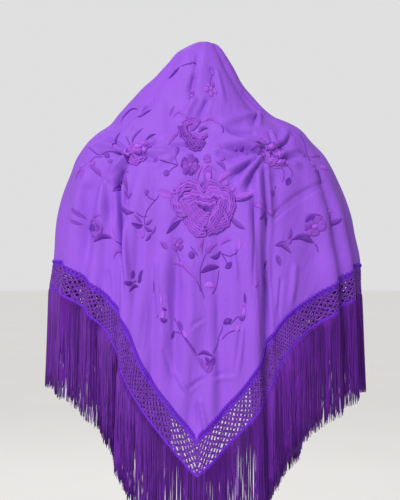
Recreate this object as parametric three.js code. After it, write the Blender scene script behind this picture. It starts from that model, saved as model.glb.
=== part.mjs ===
// A triangular flamenco shawl with a knotted net band and a long fringe, hanging
// as it does over the neck, shoulders and arms of a standing figure.
// Millimetres. X points to the wearer's right, the wearer's back faces -Y, Z is up.
// The origin is on the underside of the cloth, at the top of the neck.

import * as THREE from 'three';

// The flat cut: half of a square, with the square's corner low on the back.
const LONG_EDGE = 1600; // the edge that runs over the neck and down the two fronts
const NECK_IN = 69; // from the long edge to the point on top of the neck
const CLOTH_WALL = 1.2;

// The trimming along both short edges, from the cloth outwards.
const BRAID_WIDTH = 5;
const BRAID_WALL = 2.2;
const NET_WIDTH = 38;
const NET_WALL = 1.4;
const CORD_WIDTH = 5;
const CORD_WALL = 2.6;
const SEAM_GAP = 0.7;

const FRINGE_LENGTH = 172;
const FRINGE_UNEVEN = 9;
const STRAND_LEANS = [0.05, 0.02]; // outward, as a share of the length, by turns
const BEND_OUT = 7; // how far a strand goes on in the net's direction before it drops
const BEND_DROP = 9;
const BEND_TAPER = 0.85;
const TIP_TAPER = 0.6;

const COLUMNS = 56; // cells along each short edge
const CROWDING = 0.2; // how much closer the cells lie near the neck

const LEG = LONG_EDGE / Math.SQRT2;
const DEPTH = LONG_EDGE / 2;
const RAD = Math.PI / 180;

// Where the cloth lies on the figure, by its reach over the cloth from the top of
// the neck. Each pair is how far out and how far down on that side of the figure.
const FORM = [
  { reach: 0, left: [0, 0], right: [0, 0], back: [0, 0], front: [0, 0] },
  { reach: 25, left: [24, 4], right: [22, 8], back: [24, 5], front: [24, 5] },
  { reach: 50, left: [45, 18], right: [38, 29], back: [42, 21], front: [42, 21] },
  { reach: 75, left: [61, 36], right: [51, 51], back: [51, 44], front: [51, 43] },
  { reach: 110, left: [84, 58], right: [71, 81], back: [56, 78], front: [58, 76] },
  { reach: 150, left: [110, 86], right: [94, 112], back: [62, 117], front: [73, 112] },
  { reach: 185, left: [133, 108], right: [119, 132], back: [74, 150], front: [91, 142] },
  { reach: 215, left: [151, 127], right: [147, 144], back: [87, 177], front: [107, 167] },
  { reach: 245, left: [166, 149], right: [172, 160], back: [98, 205], front: [121, 194] },
  { reach: 280, left: [191, 164], right: [194, 184], back: [107, 239], front: [134, 227] },
  { reach: 320, left: [214, 187], right: [217, 213], back: [114, 278], front: [145, 266] },
  { reach: 360, left: [231, 214], right: [233, 248], back: [119, 317], front: [155, 305] },
  { reach: 400, left: [243, 244], right: [245, 284], back: [123, 356], front: [165, 344] },
  { reach: 450, left: [252, 288], right: [254, 332], back: [127, 405], front: [176, 393] },
  { reach: 510, left: [258, 342], right: [265, 390], back: [131, 464], front: [187, 452] },
  { reach: 600, left: [267, 430], right: [269, 480], back: [135, 553], front: [197, 541] },
  { reach: 725, left: [270, 555], right: [271, 605], back: [138, 677], front: [205, 666] },
  { reach: 860, left: [270, 690], right: [271, 740], back: [140, 812], front: [208, 801] },
];

// How the gathers turn the cloth about the figure. A ray is the angle on the flat
// cloth about the top of the neck, from 0 at the middle of the back. The other
// columns are the angle about the figure at which that ray hangs, level by level.
const TURN = [
  { ray: -10, neck: -10, shoulder: -12.3, blade: -12.3, waist: -16, point: -22.5 },
  { ray: 0, neck: 0, shoulder: 0, blade: 0, waist: 0, point: 0 },
  { ray: 10, neck: 10, shoulder: 12.3, blade: 12.3, waist: 16, point: 22.5 },
  { ray: 20, neck: 20, shoulder: 24.8, blade: 25, waist: 26.5, point: 36 },
  { ray: 30, neck: 30, shoulder: 37.5, blade: 38.5, waist: 41.5, point: 50 },
  { ray: 45, neck: 45, shoulder: 57, blade: 62, waist: 91, point: 96 },
  { ray: 60, neck: 60, shoulder: 76, blade: 88, waist: 115, point: 119 },
  { ray: 80, neck: 80, shoulder: 101, blade: 127, waist: 145, point: 148 },
  { ray: 100, neck: 100, shoulder: 127, blade: 155, waist: 165, point: 166 },
  { ray: 120, neck: 120, shoulder: 152, blade: 168, waist: 172, point: 172 },
  { ray: 180, neck: 180, shoulder: 180, blade: 180, waist: 180, point: 180 },
];
const LEVELS = [
  { level: 'neck', reach: 75 },
  { level: 'shoulder', reach: 160 },
  { level: 'blade', reach: 300 },
  { level: 'waist', reach: 520 },
  { level: 'point', reach: 725 },
];
const SWING = -3; // degrees that the lower cloth is swung round to the wearer's left
const SWING_REACH = 725;

// The cloth hangs lower outside the left arm. The dip's middle and breadth are in
// degrees about the figure, and it deepens between two reaches.
const DIP = { angle: -93, breadth: 36, from: 300, to: 520, drop: 42 };

// The largest folds. Each runs down from one angle about the figure to another,
// between two drops below the neck. A negative rise is a valley.
const FOLDS = [
  { name: 'neck right', from: 40, to: 58, top: 12, foot: 130, width: 11, rise: -6 },
  { name: 'neck crease', from: -14, to: -14, top: 15, foot: 110, width: 7, rise: -3 },
  { name: 'blade right ridge', from: 14, to: 18, top: 225, foot: 690, width: 5.5, rise: 16 },
  { name: 'blade right valley', from: 28, to: 26, top: 235, foot: 560, width: 5.5, rise: -15 },
  { name: 'arm right swell', from: 42, to: 41, top: 250, foot: 620, width: 8, rise: 6 },
  { name: 'elbow right valley', from: 62, to: 59, top: 225, foot: 520, width: 7, rise: -8 },
  { name: 'middle right valley', from: 6, to: 7, top: 400, foot: 660, width: 4.8, rise: -10 },
  { name: 'middle left valley', from: -11, to: -12, top: 375, foot: 640, width: 4.8, rise: -10 },
  { name: 'left inner valley', from: -22, to: -22, top: 380, foot: 600, width: 4.8, rise: -10 },
  { name: 'blade left ridge', from: -33, to: -31, top: 215, foot: 620, width: 5.5, rise: 15 },
  { name: 'arm left valley', from: -42, to: -42, top: 235, foot: 560, width: 6, rise: -9 },
  { name: 'elbow left ridge', from: -62, to: -65, top: 230, foot: 520, width: 8, rise: 9 },
  { name: 'front right ridge 1', from: 98, to: 99, top: 260, foot: 820, width: 7, rise: 15 },
  { name: 'front right valley 1', from: 112, to: 111, top: 250, foot: 820, width: 6, rise: -20 },
  { name: 'front right ridge 2', from: 124, to: 122, top: 230, foot: 820, width: 5.5, rise: 22 },
  { name: 'front right valley 2', from: 136, to: 133, top: 260, foot: 820, width: 5.5, rise: -22 },
  { name: 'front right ridge 3', from: 146, to: 144, top: 240, foot: 820, width: 5, rise: 21 },
  { name: 'front right valley 3', from: 155, to: 154, top: 280, foot: 820, width: 5, rise: -19 },
  { name: 'front left ridge 1', from: -98, to: -97, top: 250, foot: 820, width: 7, rise: 15 },
  { name: 'front left valley 1', from: -110, to: -109, top: 240, foot: 820, width: 5.5, rise: -20 },
  { name: 'front left ridge 2', from: -122, to: -120, top: 260, foot: 820, width: 6, rise: 22 },
  { name: 'front left valley 2', from: -134, to: -132, top: 240, foot: 820, width: 5.5, rise: -22 },
  { name: 'front left ridge 3', from: -145, to: -144, top: 250, foot: 820, width: 5, rise: 21 },
  { name: 'front left valley 3', from: -154, to: -155, top: 270, foot: 820, width: 5, rise: -18 },
];
const FOLD_FADE = 70; // the length over which a fold rises out of the cloth

const COLOURS = {
  cloth: 0x8a52cd,
  braid: 0x551eb4,
  net: 0x5a3090,
  fringe: 0x3e0e61,
};

function smooth(low, high, value) {
  return THREE.MathUtils.smoothstep(value, low, high);
}

// A smooth curve through the rows of a table: the value of one column at a key.
function along(rows, key, at, read) {
  const last = rows.length - 1;
  let i = 0;
  while (i < last - 1 && at > rows[i + 1][key]) i += 1;
  const slope = (k) => {
    const a = rows[Math.max(k - 1, 0)];
    const b = rows[Math.min(k + 1, last)];
    return (read(b) - read(a)) / (b[key] - a[key]);
  };
  const span = rows[i + 1][key] - rows[i][key];
  const t = THREE.MathUtils.clamp((at - rows[i][key]) / span, 0, 1);
  const t2 = t * t;
  const t3 = t2 * t;
  return (
    read(rows[i]) * (2 * t3 - 3 * t2 + 1) +
    read(rows[i + 1]) * (3 * t2 - 2 * t3) +
    slope(i) * span * (t3 - 2 * t2 + t) +
    slope(i + 1) * span * (t3 - t2)
  );
}

// The angle about the figure at which a ray of the cloth hangs, at a reach.
function hangAngle(ray, reach) {
  const side = Math.sign(ray) || 1;
  const turned = (level) => along(TURN, 'ray', Math.abs(ray), (row) => row[level]);
  let i = 0;
  while (i < LEVELS.length - 2 && reach > LEVELS[i + 1].reach) i += 1;
  const t = smooth(LEVELS[i].reach, LEVELS[i + 1].reach, reach);
  const angle = THREE.MathUtils.lerp(turned(LEVELS[i].level), turned(LEVELS[i + 1].level), t);
  return side * angle + SWING * smooth(0, SWING_REACH, reach);
}

// The figure's form without folds, at a point of the flat cloth. u runs across from
// the middle of the back, v down from the long edge.
function formPoint(u, v) {
  const reach = Math.hypot(u, v - NECK_IN);
  const ray = Math.atan2(u, v - NECK_IN) / RAD;
  const angle = hangAngle(ray, reach) * RAD;
  const s = Math.sin(angle);
  const c = Math.cos(angle);
  const side = s < 0 ? 'left' : 'right';
  const face = c > 0 ? 'back' : 'front';
  const read = (name, k) => along(FORM, 'reach', reach, (row) => row[name][k]);
  const off = (angle / RAD - DIP.angle) / DIP.breadth;
  const dip = DIP.drop * Math.exp(-off * off) * smooth(DIP.from, DIP.to, reach);
  return new THREE.Vector3(
    s * read(side, 0),
    (c > 0 ? -1 : 1) * Math.abs(c) * read(face, 0),
    -(s * s * read(side, 1) + c * c * read(face, 1) + dip),
  );
}

function foldRise(u, v, drop) {
  const reach = Math.hypot(u, v - NECK_IN);
  const angle = hangAngle(Math.atan2(u, v - NECK_IN) / RAD, reach);
  let rise = 0;
  for (const fold of FOLDS) {
    const run = THREE.MathUtils.clamp((drop - fold.top) / (fold.foot - fold.top), 0, 1);
    const off = (angle - THREE.MathUtils.lerp(fold.from, fold.to, run)) / fold.width;
    if (Math.abs(off) > 3) continue;
    const fade = Math.min(FOLD_FADE, (fold.foot - fold.top) / 3);
    const inTop = smooth(fold.top - fade, fold.top + fade, drop);
    const inFoot = 1 - smooth(fold.foot - fade, fold.foot + fade, drop);
    rise += fold.rise * Math.exp(-off * off) * inTop * inFoot;
  }
  return rise;
}

// The outward direction of a surface given by a function of u and v.
const NUDGE = 2;
function outward(surface, u, v) {
  const across = surface(u + NUDGE, v).sub(surface(u - NUDGE, v));
  const up = surface(u, v - NUDGE).sub(surface(u, v + NUDGE));
  return across.cross(up).normalize();
}

// The underside of the draped cloth, with its folds.
function drape(u, v) {
  const point = formPoint(u, v);
  const rise = foldRise(u, v, -point.z);
  return point.addScaledVector(outward(formPoint, u, v), rise);
}

// Flat places are given by a and b, the distances from the low corner along the
// right and the left short edge. Outside the cloth one of them is below zero.
function hang({ a, b, lift }) {
  const u = (a - b) / Math.SQRT2;
  const v = DEPTH - (a + b) / Math.SQRT2;
  return drape(u, v).addScaledVector(outward(drape, u, v), lift);
}

// The places of the grid lines along a short edge, closer together near the neck.
const GRID = Array.from({ length: COLUMNS + 1 }, (_, i) => {
  const t = (2 * i) / COLUMNS - 1;
  return (LEG / 2) * (1 + t * (1 - CROWDING) + CROWDING * t ** 3);
});

// A closed wall from a sheet of outward triangles over flat places. Each place has
// its underside and its outer side. `edge` may close a rim cell in its own way.
// Rims are split along the same diagonal on both sides of a seam.
function wall(places, cells, edge) {
  const count = places.length;
  const points = [];
  for (const place of places) points.push(place.under);
  for (const place of places) points.push(place.outer);
  const faces = [];
  const rims = new Map();
  for (const [p, q, r] of cells) {
    faces.push([p + count, q + count, r + count], [r, q, p]);
    for (const [from, to] of [[p, q], [q, r], [r, p]]) {
      if (!rims.delete(`${to},${from}`)) rims.set(`${from},${to}`, [from, to]);
    }
  }
  for (const [from, to] of rims.values()) {
    const ring = [to + count, from + count, from, to];
    if (edge?.(ring, from, to, points, faces)) continue;
    const [p, q, r, t] = from < to ? ring : [ring[1], ring[2], ring[3], ring[0]];
    faces.push([p, q, r], [p, r, t]);
  }
  const geometry = new THREE.BufferGeometry();
  const numbers = points.flatMap((point) => point.toArray());
  geometry.setAttribute('position', new THREE.Float32BufferAttribute(numbers, 3));
  geometry.setIndex(faces.flat());
  geometry.computeVertexNormals();
  return geometry;
}

function place(a, b, under, outer) {
  return { under: hang({ a, b, lift: under }), outer: hang({ a, b, lift: outer }) };
}

function clothGeometry() {
  const places = [];
  const index = new Map();
  for (let i = 0; i <= COLUMNS; i += 1) {
    for (let j = 0; i + j <= COLUMNS; j += 1) {
      index.set(`${i},${j}`, places.length);
      places.push(place(GRID[i], GRID[j], 0, CLOTH_WALL));
    }
  }
  const at = (i, j) => index.get(`${i},${j}`);
  const cells = [];
  for (let i = 0; i < COLUMNS; i += 1) {
    for (let j = 0; i + j < COLUMNS; j += 1) {
      cells.push([at(i, j), at(i + 1, j), at(i, j + 1)]);
      if (i + j < COLUMNS - 1) cells.push([at(i + 1, j), at(i + 1, j + 1), at(i, j + 1)]);
    }
  }
  return wall(places, cells);
}

// A column's place on a band at a distance outside the cloth's edge. The columns
// fan out towards the low corner, where the two bands meet in a mitre.
function bandPlace(side, column, out, under, outer) {
  const fan = 1 - GRID[column] / LEG;
  const a = GRID[column] - (out - SEAM_GAP / 2) * fan;
  const places = side === 'right' ? [a, -out] : [-out, a];
  return place(...places, under, outer);
}

// A flat cell as two outward triangles, for corners given anticlockwise on the
// right side. The left side is its mirror image.
function quad(side, p, q, r, s) {
  if (side === 'right') return [[p, q, r], [p, r, s]];
  return [[r, q, p], [s, r, p]];
}

// A plain or crowned band between two distances outside the cloth's edge.
function bandGeometry(side, from, width, wallAt) {
  const places = [];
  const rows = 3;
  for (let column = 0; column <= COLUMNS; column += 1) {
    for (let row = 0; row < rows; row += 1) {
      const across = row / (rows - 1);
      const thick = wallAt(across);
      places.push(bandPlace(side, column, from + width * across, -thick / 2, thick / 2));
    }
  }
  const cells = [];
  for (let column = 0; column < COLUMNS; column += 1) {
    for (let row = 0; row < rows - 1; row += 1) {
      const top = column * rows + row;
      cells.push(...quad(side, top, top + 1, top + rows + 1, top + rows));
    }
  }
  return wall(places, cells);
}

// The uneven length of a strand, the same every time.
function unevenness(number) {
  return FRINGE_UNEVEN * (Math.sin(number * 2.4) + Math.sin(number * 0.83 + 1)) * 0.5;
}

// The hem cord of one side, with the strands of its fringe growing out of it.
// Each column of the cord is cut into equal parts, a strand and a space in turn.
const PARTS = 4;
function fringeGeometry(side, from) {
  const half = CORD_WALL / 2;
  const tops = [];
  const feet = [];
  for (let column = 0; column <= COLUMNS; column += 1) {
    tops.push(bandPlace(side, column, from, -half, half));
    feet.push(bandPlace(side, column, from + CORD_WIDTH, -half, half));
  }
  const places = [];
  const cells = [];
  const strandStarts = new Map();
  for (let column = 0; column <= COLUMNS; column += 1) {
    places.push(tops[column], feet[column]);
    if (column === COLUMNS) break;
    for (let part = 1; part < PARTS; part += 1) {
      const t = part / PARTS;
      places.push({
        under: feet[column].under.clone().lerp(feet[column + 1].under, t),
        outer: feet[column].outer.clone().lerp(feet[column + 1].outer, t),
      });
    }
  }
  const stride = PARTS + 1;
  for (let column = 0; column < COLUMNS; column += 1) {
    const top = column * stride;
    const nextTop = top + stride;
    const foot = (part) => (part === PARTS ? nextTop + 1 : top + 1 + part);
    const flip = (cell) => (side === 'right' ? cell : [...cell].reverse());
    for (let part = 0; part < PARTS; part += 1) {
      cells.push(flip([top, foot(part), foot(part + 1)]));
      if (part % 2 === 0) {
        const number = strandStarts.size;
        const ends = side === 'right' ? [foot(part), foot(part + 1)] : [foot(part + 1), foot(part)];
        strandStarts.set(ends.join(), number);
      }
    }
    cells.push(flip([top, nextTop + 1, nextTop]));
  }
  const strand = (ring, start, end, points, faces) => {
    const number = strandStarts.get(`${start},${end}`);
    if (number === undefined) return false;
    const roots = ring.map((k) => points[k]);
    const middle = new THREE.Vector3();
    for (const root of roots) middle.addScaledVector(root, 1 / roots.length);
    const column = Math.floor((2 * number) / PARTS);
    const onward = feet[column].under.clone().sub(tops[column].under).normalize();
    const bend = middle.clone().addScaledVector(onward, BEND_OUT);
    bend.z -= BEND_DROP;
    const away = roots[0].clone().sub(roots[3]).setZ(0).normalize();
    const length = FRINGE_LENGTH + unevenness(number);
    const tip = bend.clone().addScaledVector(away, STRAND_LEANS[number % STRAND_LEANS.length] * length);
    tip.z = middle.z - length;
    const narrow = (centre, root, taper) => {
      const spread = root.clone().sub(middle).setZ(0).multiplyScalar(taper);
      return spread.add(centre);
    };
    let above = ring;
    for (const [centre, taper] of [[bend, BEND_TAPER], [tip, TIP_TAPER]]) {
      const first = points.length;
      for (const root of roots) points.push(narrow(centre, root, taper));
      const below = [first, first + 1, first + 2, first + 3];
      for (let k = 0; k < 4; k += 1) {
        const next = (k + 1) % 4;
        faces.push([above[k], above[next], below[next]], [above[k], below[next], below[k]]);
      }
      above = below;
    }
    faces.push([above[0], above[1], above[2]], [above[0], above[2], above[3]]);
    return true;
  };
  return wall(places, cells, strand);
}

function finish(colour, roughness) {
  return new THREE.MeshStandardMaterial({ color: colour, roughness, metalness: 0 });
}

function piece(name, geometry, material) {
  const mesh = new THREE.Mesh(geometry, material);
  mesh.name = name;
  return mesh;
}

const group = new THREE.Group();
group.name = 'flamenco_shawl';
group.add(piece('shawl_cloth', clothGeometry(), finish(COLOURS.cloth, 0.55)));

const crowned = (across) => BRAID_WALL * (0.6 + 0.4 * Math.sin(Math.PI * across));
const netFrom = SEAM_GAP + BRAID_WIDTH + SEAM_GAP;
const cordFrom = netFrom + NET_WIDTH + SEAM_GAP;
for (const side of ['left', 'right']) {
  const braid = bandGeometry(side, SEAM_GAP, BRAID_WIDTH, crowned);
  group.add(piece(`heading_braid_${side}`, braid, finish(COLOURS.braid, 0.6)));
  const net = bandGeometry(side, netFrom, NET_WIDTH, () => NET_WALL);
  group.add(piece(`net_band_${side}`, net, finish(COLOURS.net, 0.7)));
  const fringe = fringeGeometry(side, cordFrom);
  group.add(piece(`fringe_${side}`, fringe, finish(COLOURS.fringe, 0.5)));
}

export default group;
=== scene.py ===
import math

import bpy
import numpy as np
from bpy.props import FloatProperty, FloatVectorProperty, IntProperty, PointerProperty
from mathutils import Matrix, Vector


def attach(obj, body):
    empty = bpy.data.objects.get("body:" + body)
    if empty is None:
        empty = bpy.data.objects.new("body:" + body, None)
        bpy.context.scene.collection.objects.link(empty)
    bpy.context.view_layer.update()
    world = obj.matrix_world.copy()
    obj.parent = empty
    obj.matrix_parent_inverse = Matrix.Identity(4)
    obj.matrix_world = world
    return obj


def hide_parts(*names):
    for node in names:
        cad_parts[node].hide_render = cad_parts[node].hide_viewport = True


bl_info = {
    "name": "Flamenco Shawl",
    "version": (1, 0, 0),
    "blender": (4, 5, 0),
    "location": "3D View > Sidebar > Shawl",
    "description": "Makes the cloth, embroidery, net and fringe of a draped shawl",
    "category": "Object",
}

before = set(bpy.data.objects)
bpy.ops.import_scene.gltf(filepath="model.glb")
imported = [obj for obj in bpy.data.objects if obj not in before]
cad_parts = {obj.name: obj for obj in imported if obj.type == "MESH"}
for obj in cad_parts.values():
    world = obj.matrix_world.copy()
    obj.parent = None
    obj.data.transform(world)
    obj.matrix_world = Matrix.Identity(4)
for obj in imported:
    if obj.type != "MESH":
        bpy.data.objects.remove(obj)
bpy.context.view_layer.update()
MM = 0.001
TAU = 2 * math.pi
SIDES = {"right": 1, "left": -1}

# Where the hanging cloth lies, by its reach over the cloth from the top of the neck:
# how far out and how far down it is on each side, in millimetres.
FORM_COLUMNS = ("reach", "left out", "left drop", "right out", "right drop",
                "back out", "back drop", "front out", "front drop")
FORM = [
    (0, 0, 0, 0, 0, 0, 0, 0, 0),
    (25, 24, 4, 22, 8, 24, 5, 24, 5),
    (50, 45, 18, 38, 29, 42, 21, 42, 21),
    (75, 61, 36, 51, 51, 51, 44, 51, 43),
    (110, 84, 58, 71, 81, 56, 78, 58, 76),
    (150, 110, 86, 94, 112, 62, 117, 73, 112),
    (185, 133, 108, 119, 132, 74, 150, 91, 142),
    (215, 151, 127, 147, 144, 87, 177, 107, 167),
    (245, 166, 149, 172, 160, 98, 205, 121, 194),
    (280, 191, 164, 194, 184, 107, 239, 134, 227),
    (320, 214, 187, 217, 213, 114, 278, 145, 266),
    (360, 231, 214, 233, 248, 119, 317, 155, 305),
    (400, 243, 244, 245, 284, 123, 356, 165, 344),
    (450, 252, 288, 254, 332, 127, 405, 176, 393),
    (510, 258, 342, 265, 390, 131, 464, 187, 452),
    (600, 267, 430, 269, 480, 135, 553, 197, 541),
    (725, 270, 555, 271, 605, 138, 677, 205, 666),
    (860, 270, 690, 271, 740, 140, 812, 208, 801),
]

# How the gathers turn the cloth about its upright middle line. A ray is the angle on
# the flat cloth about the top of the neck, and the other columns are the angle at
# which it hangs at each level, in degrees. The levels' reaches are in millimetres.
LEVELS = (("neck", 75), ("shoulder", 160), ("blade", 300), ("waist", 520), ("point", 725))
TURN_COLUMNS = ("ray", "neck", "shoulder", "blade", "waist", "point")
TURN = [
    (-10, -10, -12.3, -12.3, -16, -22.5),
    (0, 0, 0, 0, 0, 0),
    (10, 10, 12.3, 12.3, 16, 22.5),
    (20, 20, 24.8, 25, 26.5, 36),
    (30, 30, 37.5, 38.5, 41.5, 50),
    (45, 45, 57, 62, 91, 96),
    (60, 60, 76, 88, 115, 119),
    (80, 80, 101, 127, 145, 148),
    (100, 100, 127, 155, 165, 166),
    (120, 120, 152, 168, 172, 172),
    (180, 180, 180, 180, 180, 180),
]
SWING = -3  # degrees that the lower cloth is swung round to the left as worn
SWING_REACH = 0.725  # the reach from which it is swung in full

# The folds. Each runs down from one angle about the middle line to another, in
# degrees, between two drops below the neck, and has a width in degrees on each side,
# so that one side can be steep. Drops and rises are in millimetres, and a negative
# rise is a valley.
FOLD_COLUMNS = ("from", "to", "top", "foot", "left width", "right width", "rise")
FOLDS = {
    "neck right": (40, 58, 12, 130, 9, 7, -7),
    "neck left": (-62, -50, 20, 120, 8, 12, -3),
    "neck crease": (-14, -14, 15, 110, 3, 5, -3.5),
    "blade right ridge": (17.5, 19, 300, 690, 7, 2.4, 13),
    "blade right valley": (22.5, 22.5, 330, 620, 2.4, 2.2, -10),
    "blade right lip": (24.8, 24.4, 340, 620, 1.6, 1.3, 2),
    "blade right inner": (27, 26.5, 330, 600, 1.6, 12, -6),
    "arm right valley": (37, 31, 200, 390, 4, 6, -4),
    "arm right hollow": (46, 45, 250, 620, 11, 8, -9),
    "elbow right ridge": (55, 56, 300, 600, 5, 3, 7),
    "elbow right valley": (62.5, 62, 225, 520, 3, 4, -8),
    "elbow right edge": (70, 71, 280, 560, 4, 4, 6),
    "right side valley": (83, 84, 260, 700, 5, 5, -9),
    "middle left ridge": (-5.5, -5.5, 370, 600, 3, 3.4, 6),
    "middle left valley": (-11.2, -11.6, 375, 600, 2.6, 2.6, -9),
    "middle right valley": (4.5, 5, 430, 620, 1.6, 3, -7),
    "middle right ridge": (9.5, 10, 400, 640, 3, 3.6, 4),
    "point ridge": (2, 1, 560, 720, 3, 3, 6),
    "point valley": (-4.5, -5, 545, 660, 2.4, 3, -6),
    "left inner ridge": (-16, -16, 360, 600, 3, 3.4, 4),
    "left inner valley": (-19.6, -19.8, 420, 610, 1.8, 2, -5),
    "blade left swell": (-24, -24, 330, 600, 3, 3, 3),
    "blade left valley": (-26.5, -26.8, 320, 500, 1.8, 2.2, -4),
    "blade left ridge": (-32.2, -30.6, 270, 660, 1.6, 5, 10),
    "blade left shadow": (-35.2, -33.6, 280, 640, 3.2, 1.3, -8),
    "arm left valley": (-42.5, -41, 235, 560, 3, 4, -6),
    "arm left ridge": (-47.5, -47, 260, 520, 3, 3.6, 5),
    "elbow left valley": (-53, -54, 230, 520, 3, 4, -7),
    "elbow left ridge": (-62, -66, 230, 520, 5, 5, 9),
    "left side valley": (-80, -82, 250, 700, 6, 6, -9),
    "front right ridge 1": (98, 99, 260, 820, 6, 6, 15),
    "front right valley 1": (112, 111, 250, 820, 5, 5, -20),
    "front right ridge 2": (124, 122, 230, 820, 5, 5, 22),
    "front right valley 2": (136, 133, 260, 820, 5, 5, -22),
    "front right ridge 3": (146, 144, 240, 820, 4.5, 4.5, 21),
    "front right valley 3": (155, 154, 280, 820, 4.5, 4.5, -19),
    "front left ridge 1": (-98, -97, 250, 820, 6, 6, 15),
    "front left valley 1": (-110, -109, 240, 820, 5, 5, -20),
    "front left ridge 2": (-122, -120, 260, 820, 5.5, 5.5, 22),
    "front left valley 2": (-134, -132, 240, 820, 5, 5, -22),
    "front left ridge 3": (-145, -144, 250, 820, 4.5, 4.5, 21),
    "front left valley 3": (-154, -155, 270, 820, 4.5, 4.5, -18),
}
FOLD_FADE = 70  # millimetres over which a fold rises out of the cloth
CORNER = 0.17  # how far up each side the trimming still fans out round the low corner
CORNER_TUCK = 0.12  # the share by which the trimming is drawn in at the very corner
CORNER_TUCK_RUN = 0.03  # how far up each side it is drawn in

# Sharper folds: drag lines that run out of the gathered stitches at each shoulder,
# the edges of the hanging folds and the lines of a cloth that was put away folded.
# Flat places, the bow of the line, its width at each end and its rise, in millimetres.
CREASE_COLUMNS = ("u", "v", "end u", "end v", "bow", "width", "end width", "rise")
CREASES = [
    (118, 300, 11, 257, 4, 3.4, 9, 10.5),
    (118, 298, 40, 280, 0, 2.6, 6, -7.5),
    (118, 303, 37, 347, 0, 3.2, 9, 10),
    (116, 301, 24, 303, 0, 2.8, 8, -9),
    (116, 306, 66, 378, -4, 3, 8, 10.5),
    (115, 304, 48, 362, 0, 3, 7, -7.5),
    (113, 293, 55, 282, 0, 3, 6, 6),
    (115, 308, 84, 392, -3, 3, 7, -7.5),
    (124, 292, 172, 203, -12, 3, 7, 7.5),
    (130, 288, 168, 214, -16, 2.6, 6, -6),
    (134, 246, 141, 288, 0, 3, 4, 5),
    (128, 252, 136, 286, 2, 2.4, 3, -4.5),
    (141, 302, 195, 266, 4, 3, 7, 7),
    (145, 308, 200, 303, 0, 3, 7, 6),
    (143, 305, 196, 285, 0, 3, 6, -5),
    (120, 306, 186, 620, -5, 5, 11, -9),
    (140, 320, 204, 620, -5, 12, 20, -6),
    (104, 320, 158, 610, -3, 6, 12, 9),
    (124, 312, 150, 420, -3, 3, 5, 7.5),
    (106, 372, 113, 562, 0, 3, 4, -4.5),
    (132, 166, 92, 140, 0, 4, 5, -9),
    (124, 178, 104, 252, 5, 4, 5, 7.5),
    (120, 190, 96, 250, 5, 3.4, 4, -7.5),
    (128, 188, 12, 262, 8, 5, 11, 7),
    (106, 262, 20, 280, 0, 4, 9, -6),
    (110, 284, 30, 292, 0, 3, 5, 4.5),
    (-149, 303, -196, 344, 0, 3, 6, 8),
    (-153, 303, -246, 263, -5, 3, 8, 7.5),
    (-155, 306, -240, 290, 0, 3, 8, -7),
    (-153, 299, -222, 250, -4, 2.6, 7, -5),
    (-143, 298, -52, 311, 0, 3, 8, 7.5),
    (-143, 294, -22, 281, 5, 3, 10, 7.5),
    (-141, 296, -40, 296, 0, 3, 7, -7),
    (-142, 302, -70, 330, -3, 3, 7, -5),
    (-149, 317, -184, 372, 0, 3, 6, -7.5),
    (-160, 330, -182, 470, -6, 3, 5, -7.5),
    (-172, 345, -196, 590, -4, 3.2, 6, -12),
    (-163, 350, -176, 580, -4, 5, 9, 7.5),
    (-194, 350, -205, 432, 0, 6, 9, -6),
    (-232, 354, -266, 494, 0, 7, 12, -6),
    (-206, 352, -218, 445, 0, 4, 7, 5),
    (147, 411, 276, 296, 7, 2.6, 3, -4.5),
    (151, 418, 272, 307, 7, 2.6, 3, -3),
    (149, 414, 274, 301, 7, 2, 2.4, 2),
    (-17, 716, 29, 693, 4, 2.4, 3, -5),
    (-16, 723, 24, 700, 4, 2.4, 3, 3),
    (30, 701, 81, 694, 3, 2.4, 3, 3.5),
    (30, 694, 78, 688, 3, 2.4, 3, -2.5),
    (-17, 614, 19, 596, 3, 2.4, 3, -3),
    (-15, 620, 20, 601, 3, 2.4, 3, 2),
    (-43, 690, -14, 728, 0, 2.6, 3, 4.5),
    (-48, 694, -19, 732, 0, 2.6, 3, -3),
    (-70, 650, -46, 704, 0, 2.6, 3, -3),
    (-66, 560, -60, 640, 2, 2.6, 3, 2.5),
    (6, 730, 18, 792, 0, 2.6, 4, 7.5),
    (0, 736, 8, 790, 0, 2.6, 4, -4.5),
    (-36, 612, -44, 660, 0, 2.6, 3, 3),
    (54, 560, 48, 640, 0, 3, 4, -3),
    (92, 604, 70, 700, 3, 3, 4, 4.5),
    (86, 610, 64, 704, 3, 3, 4, -3),
    (-26, 112, -26, 160, 0, 2.4, 3, 3.5),
    (-30, 116, -31, 160, 0, 2.4, 3, -2.5),
    (-24, 162, -31, 205, 0, 4, 6, -6),
    (-18, 205, -44, 250, 0, 4, 8, 6),
    (6, 210, -14, 252, 0, 4, 7, -7.5),
    (30, 150, 44, 220, 0, 4, 7, 4.5),
    (-65, 294, -27, 306, 0, 4, 6, -6),
    (-117, 297, -9, 291, 0, 3, 5, 6),
    (-104, 284, -22, 280, 0, 4, 7, -6),
    (-162, 330, -188, 380, 0, 3.4, 6, -7),
    (-164, 300, -214, 292, 3, 3, 6, 6),
    (20, 304, 74, 316, 0, 3, 5, 6),
    (22, 312, 70, 324, 0, 3, 5, -4.5),
    (-60, 320, -110, 330, 0, 4, 8, 4.5),
    (-36, 500, -30, 560, 0, 3, 4, 3),
    (62, 470, 70, 540, 0, 3, 5, 4.5),
    (-88, 500, -84, 600, 0, 3, 5, 4.5),
    (200, 500, 212, 580, 0, 4, 6, -4.5),
    (226, 470, 246, 560, 0, 4, 7, 4.5),
    (-236, 500, -250, 560, 0, 4, 7, -4.5),
    (-120, 200, -170, 262, 4, 5, 8, 4.5),
    (-100, 190, -150, 236, 4, 4, 8, -4.5),
]

CREASE_RISES = 0.1  # the share of its length over which a crease rises
CREASE_FADES = 0.6  # the share of its length from which a crease dies away

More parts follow.
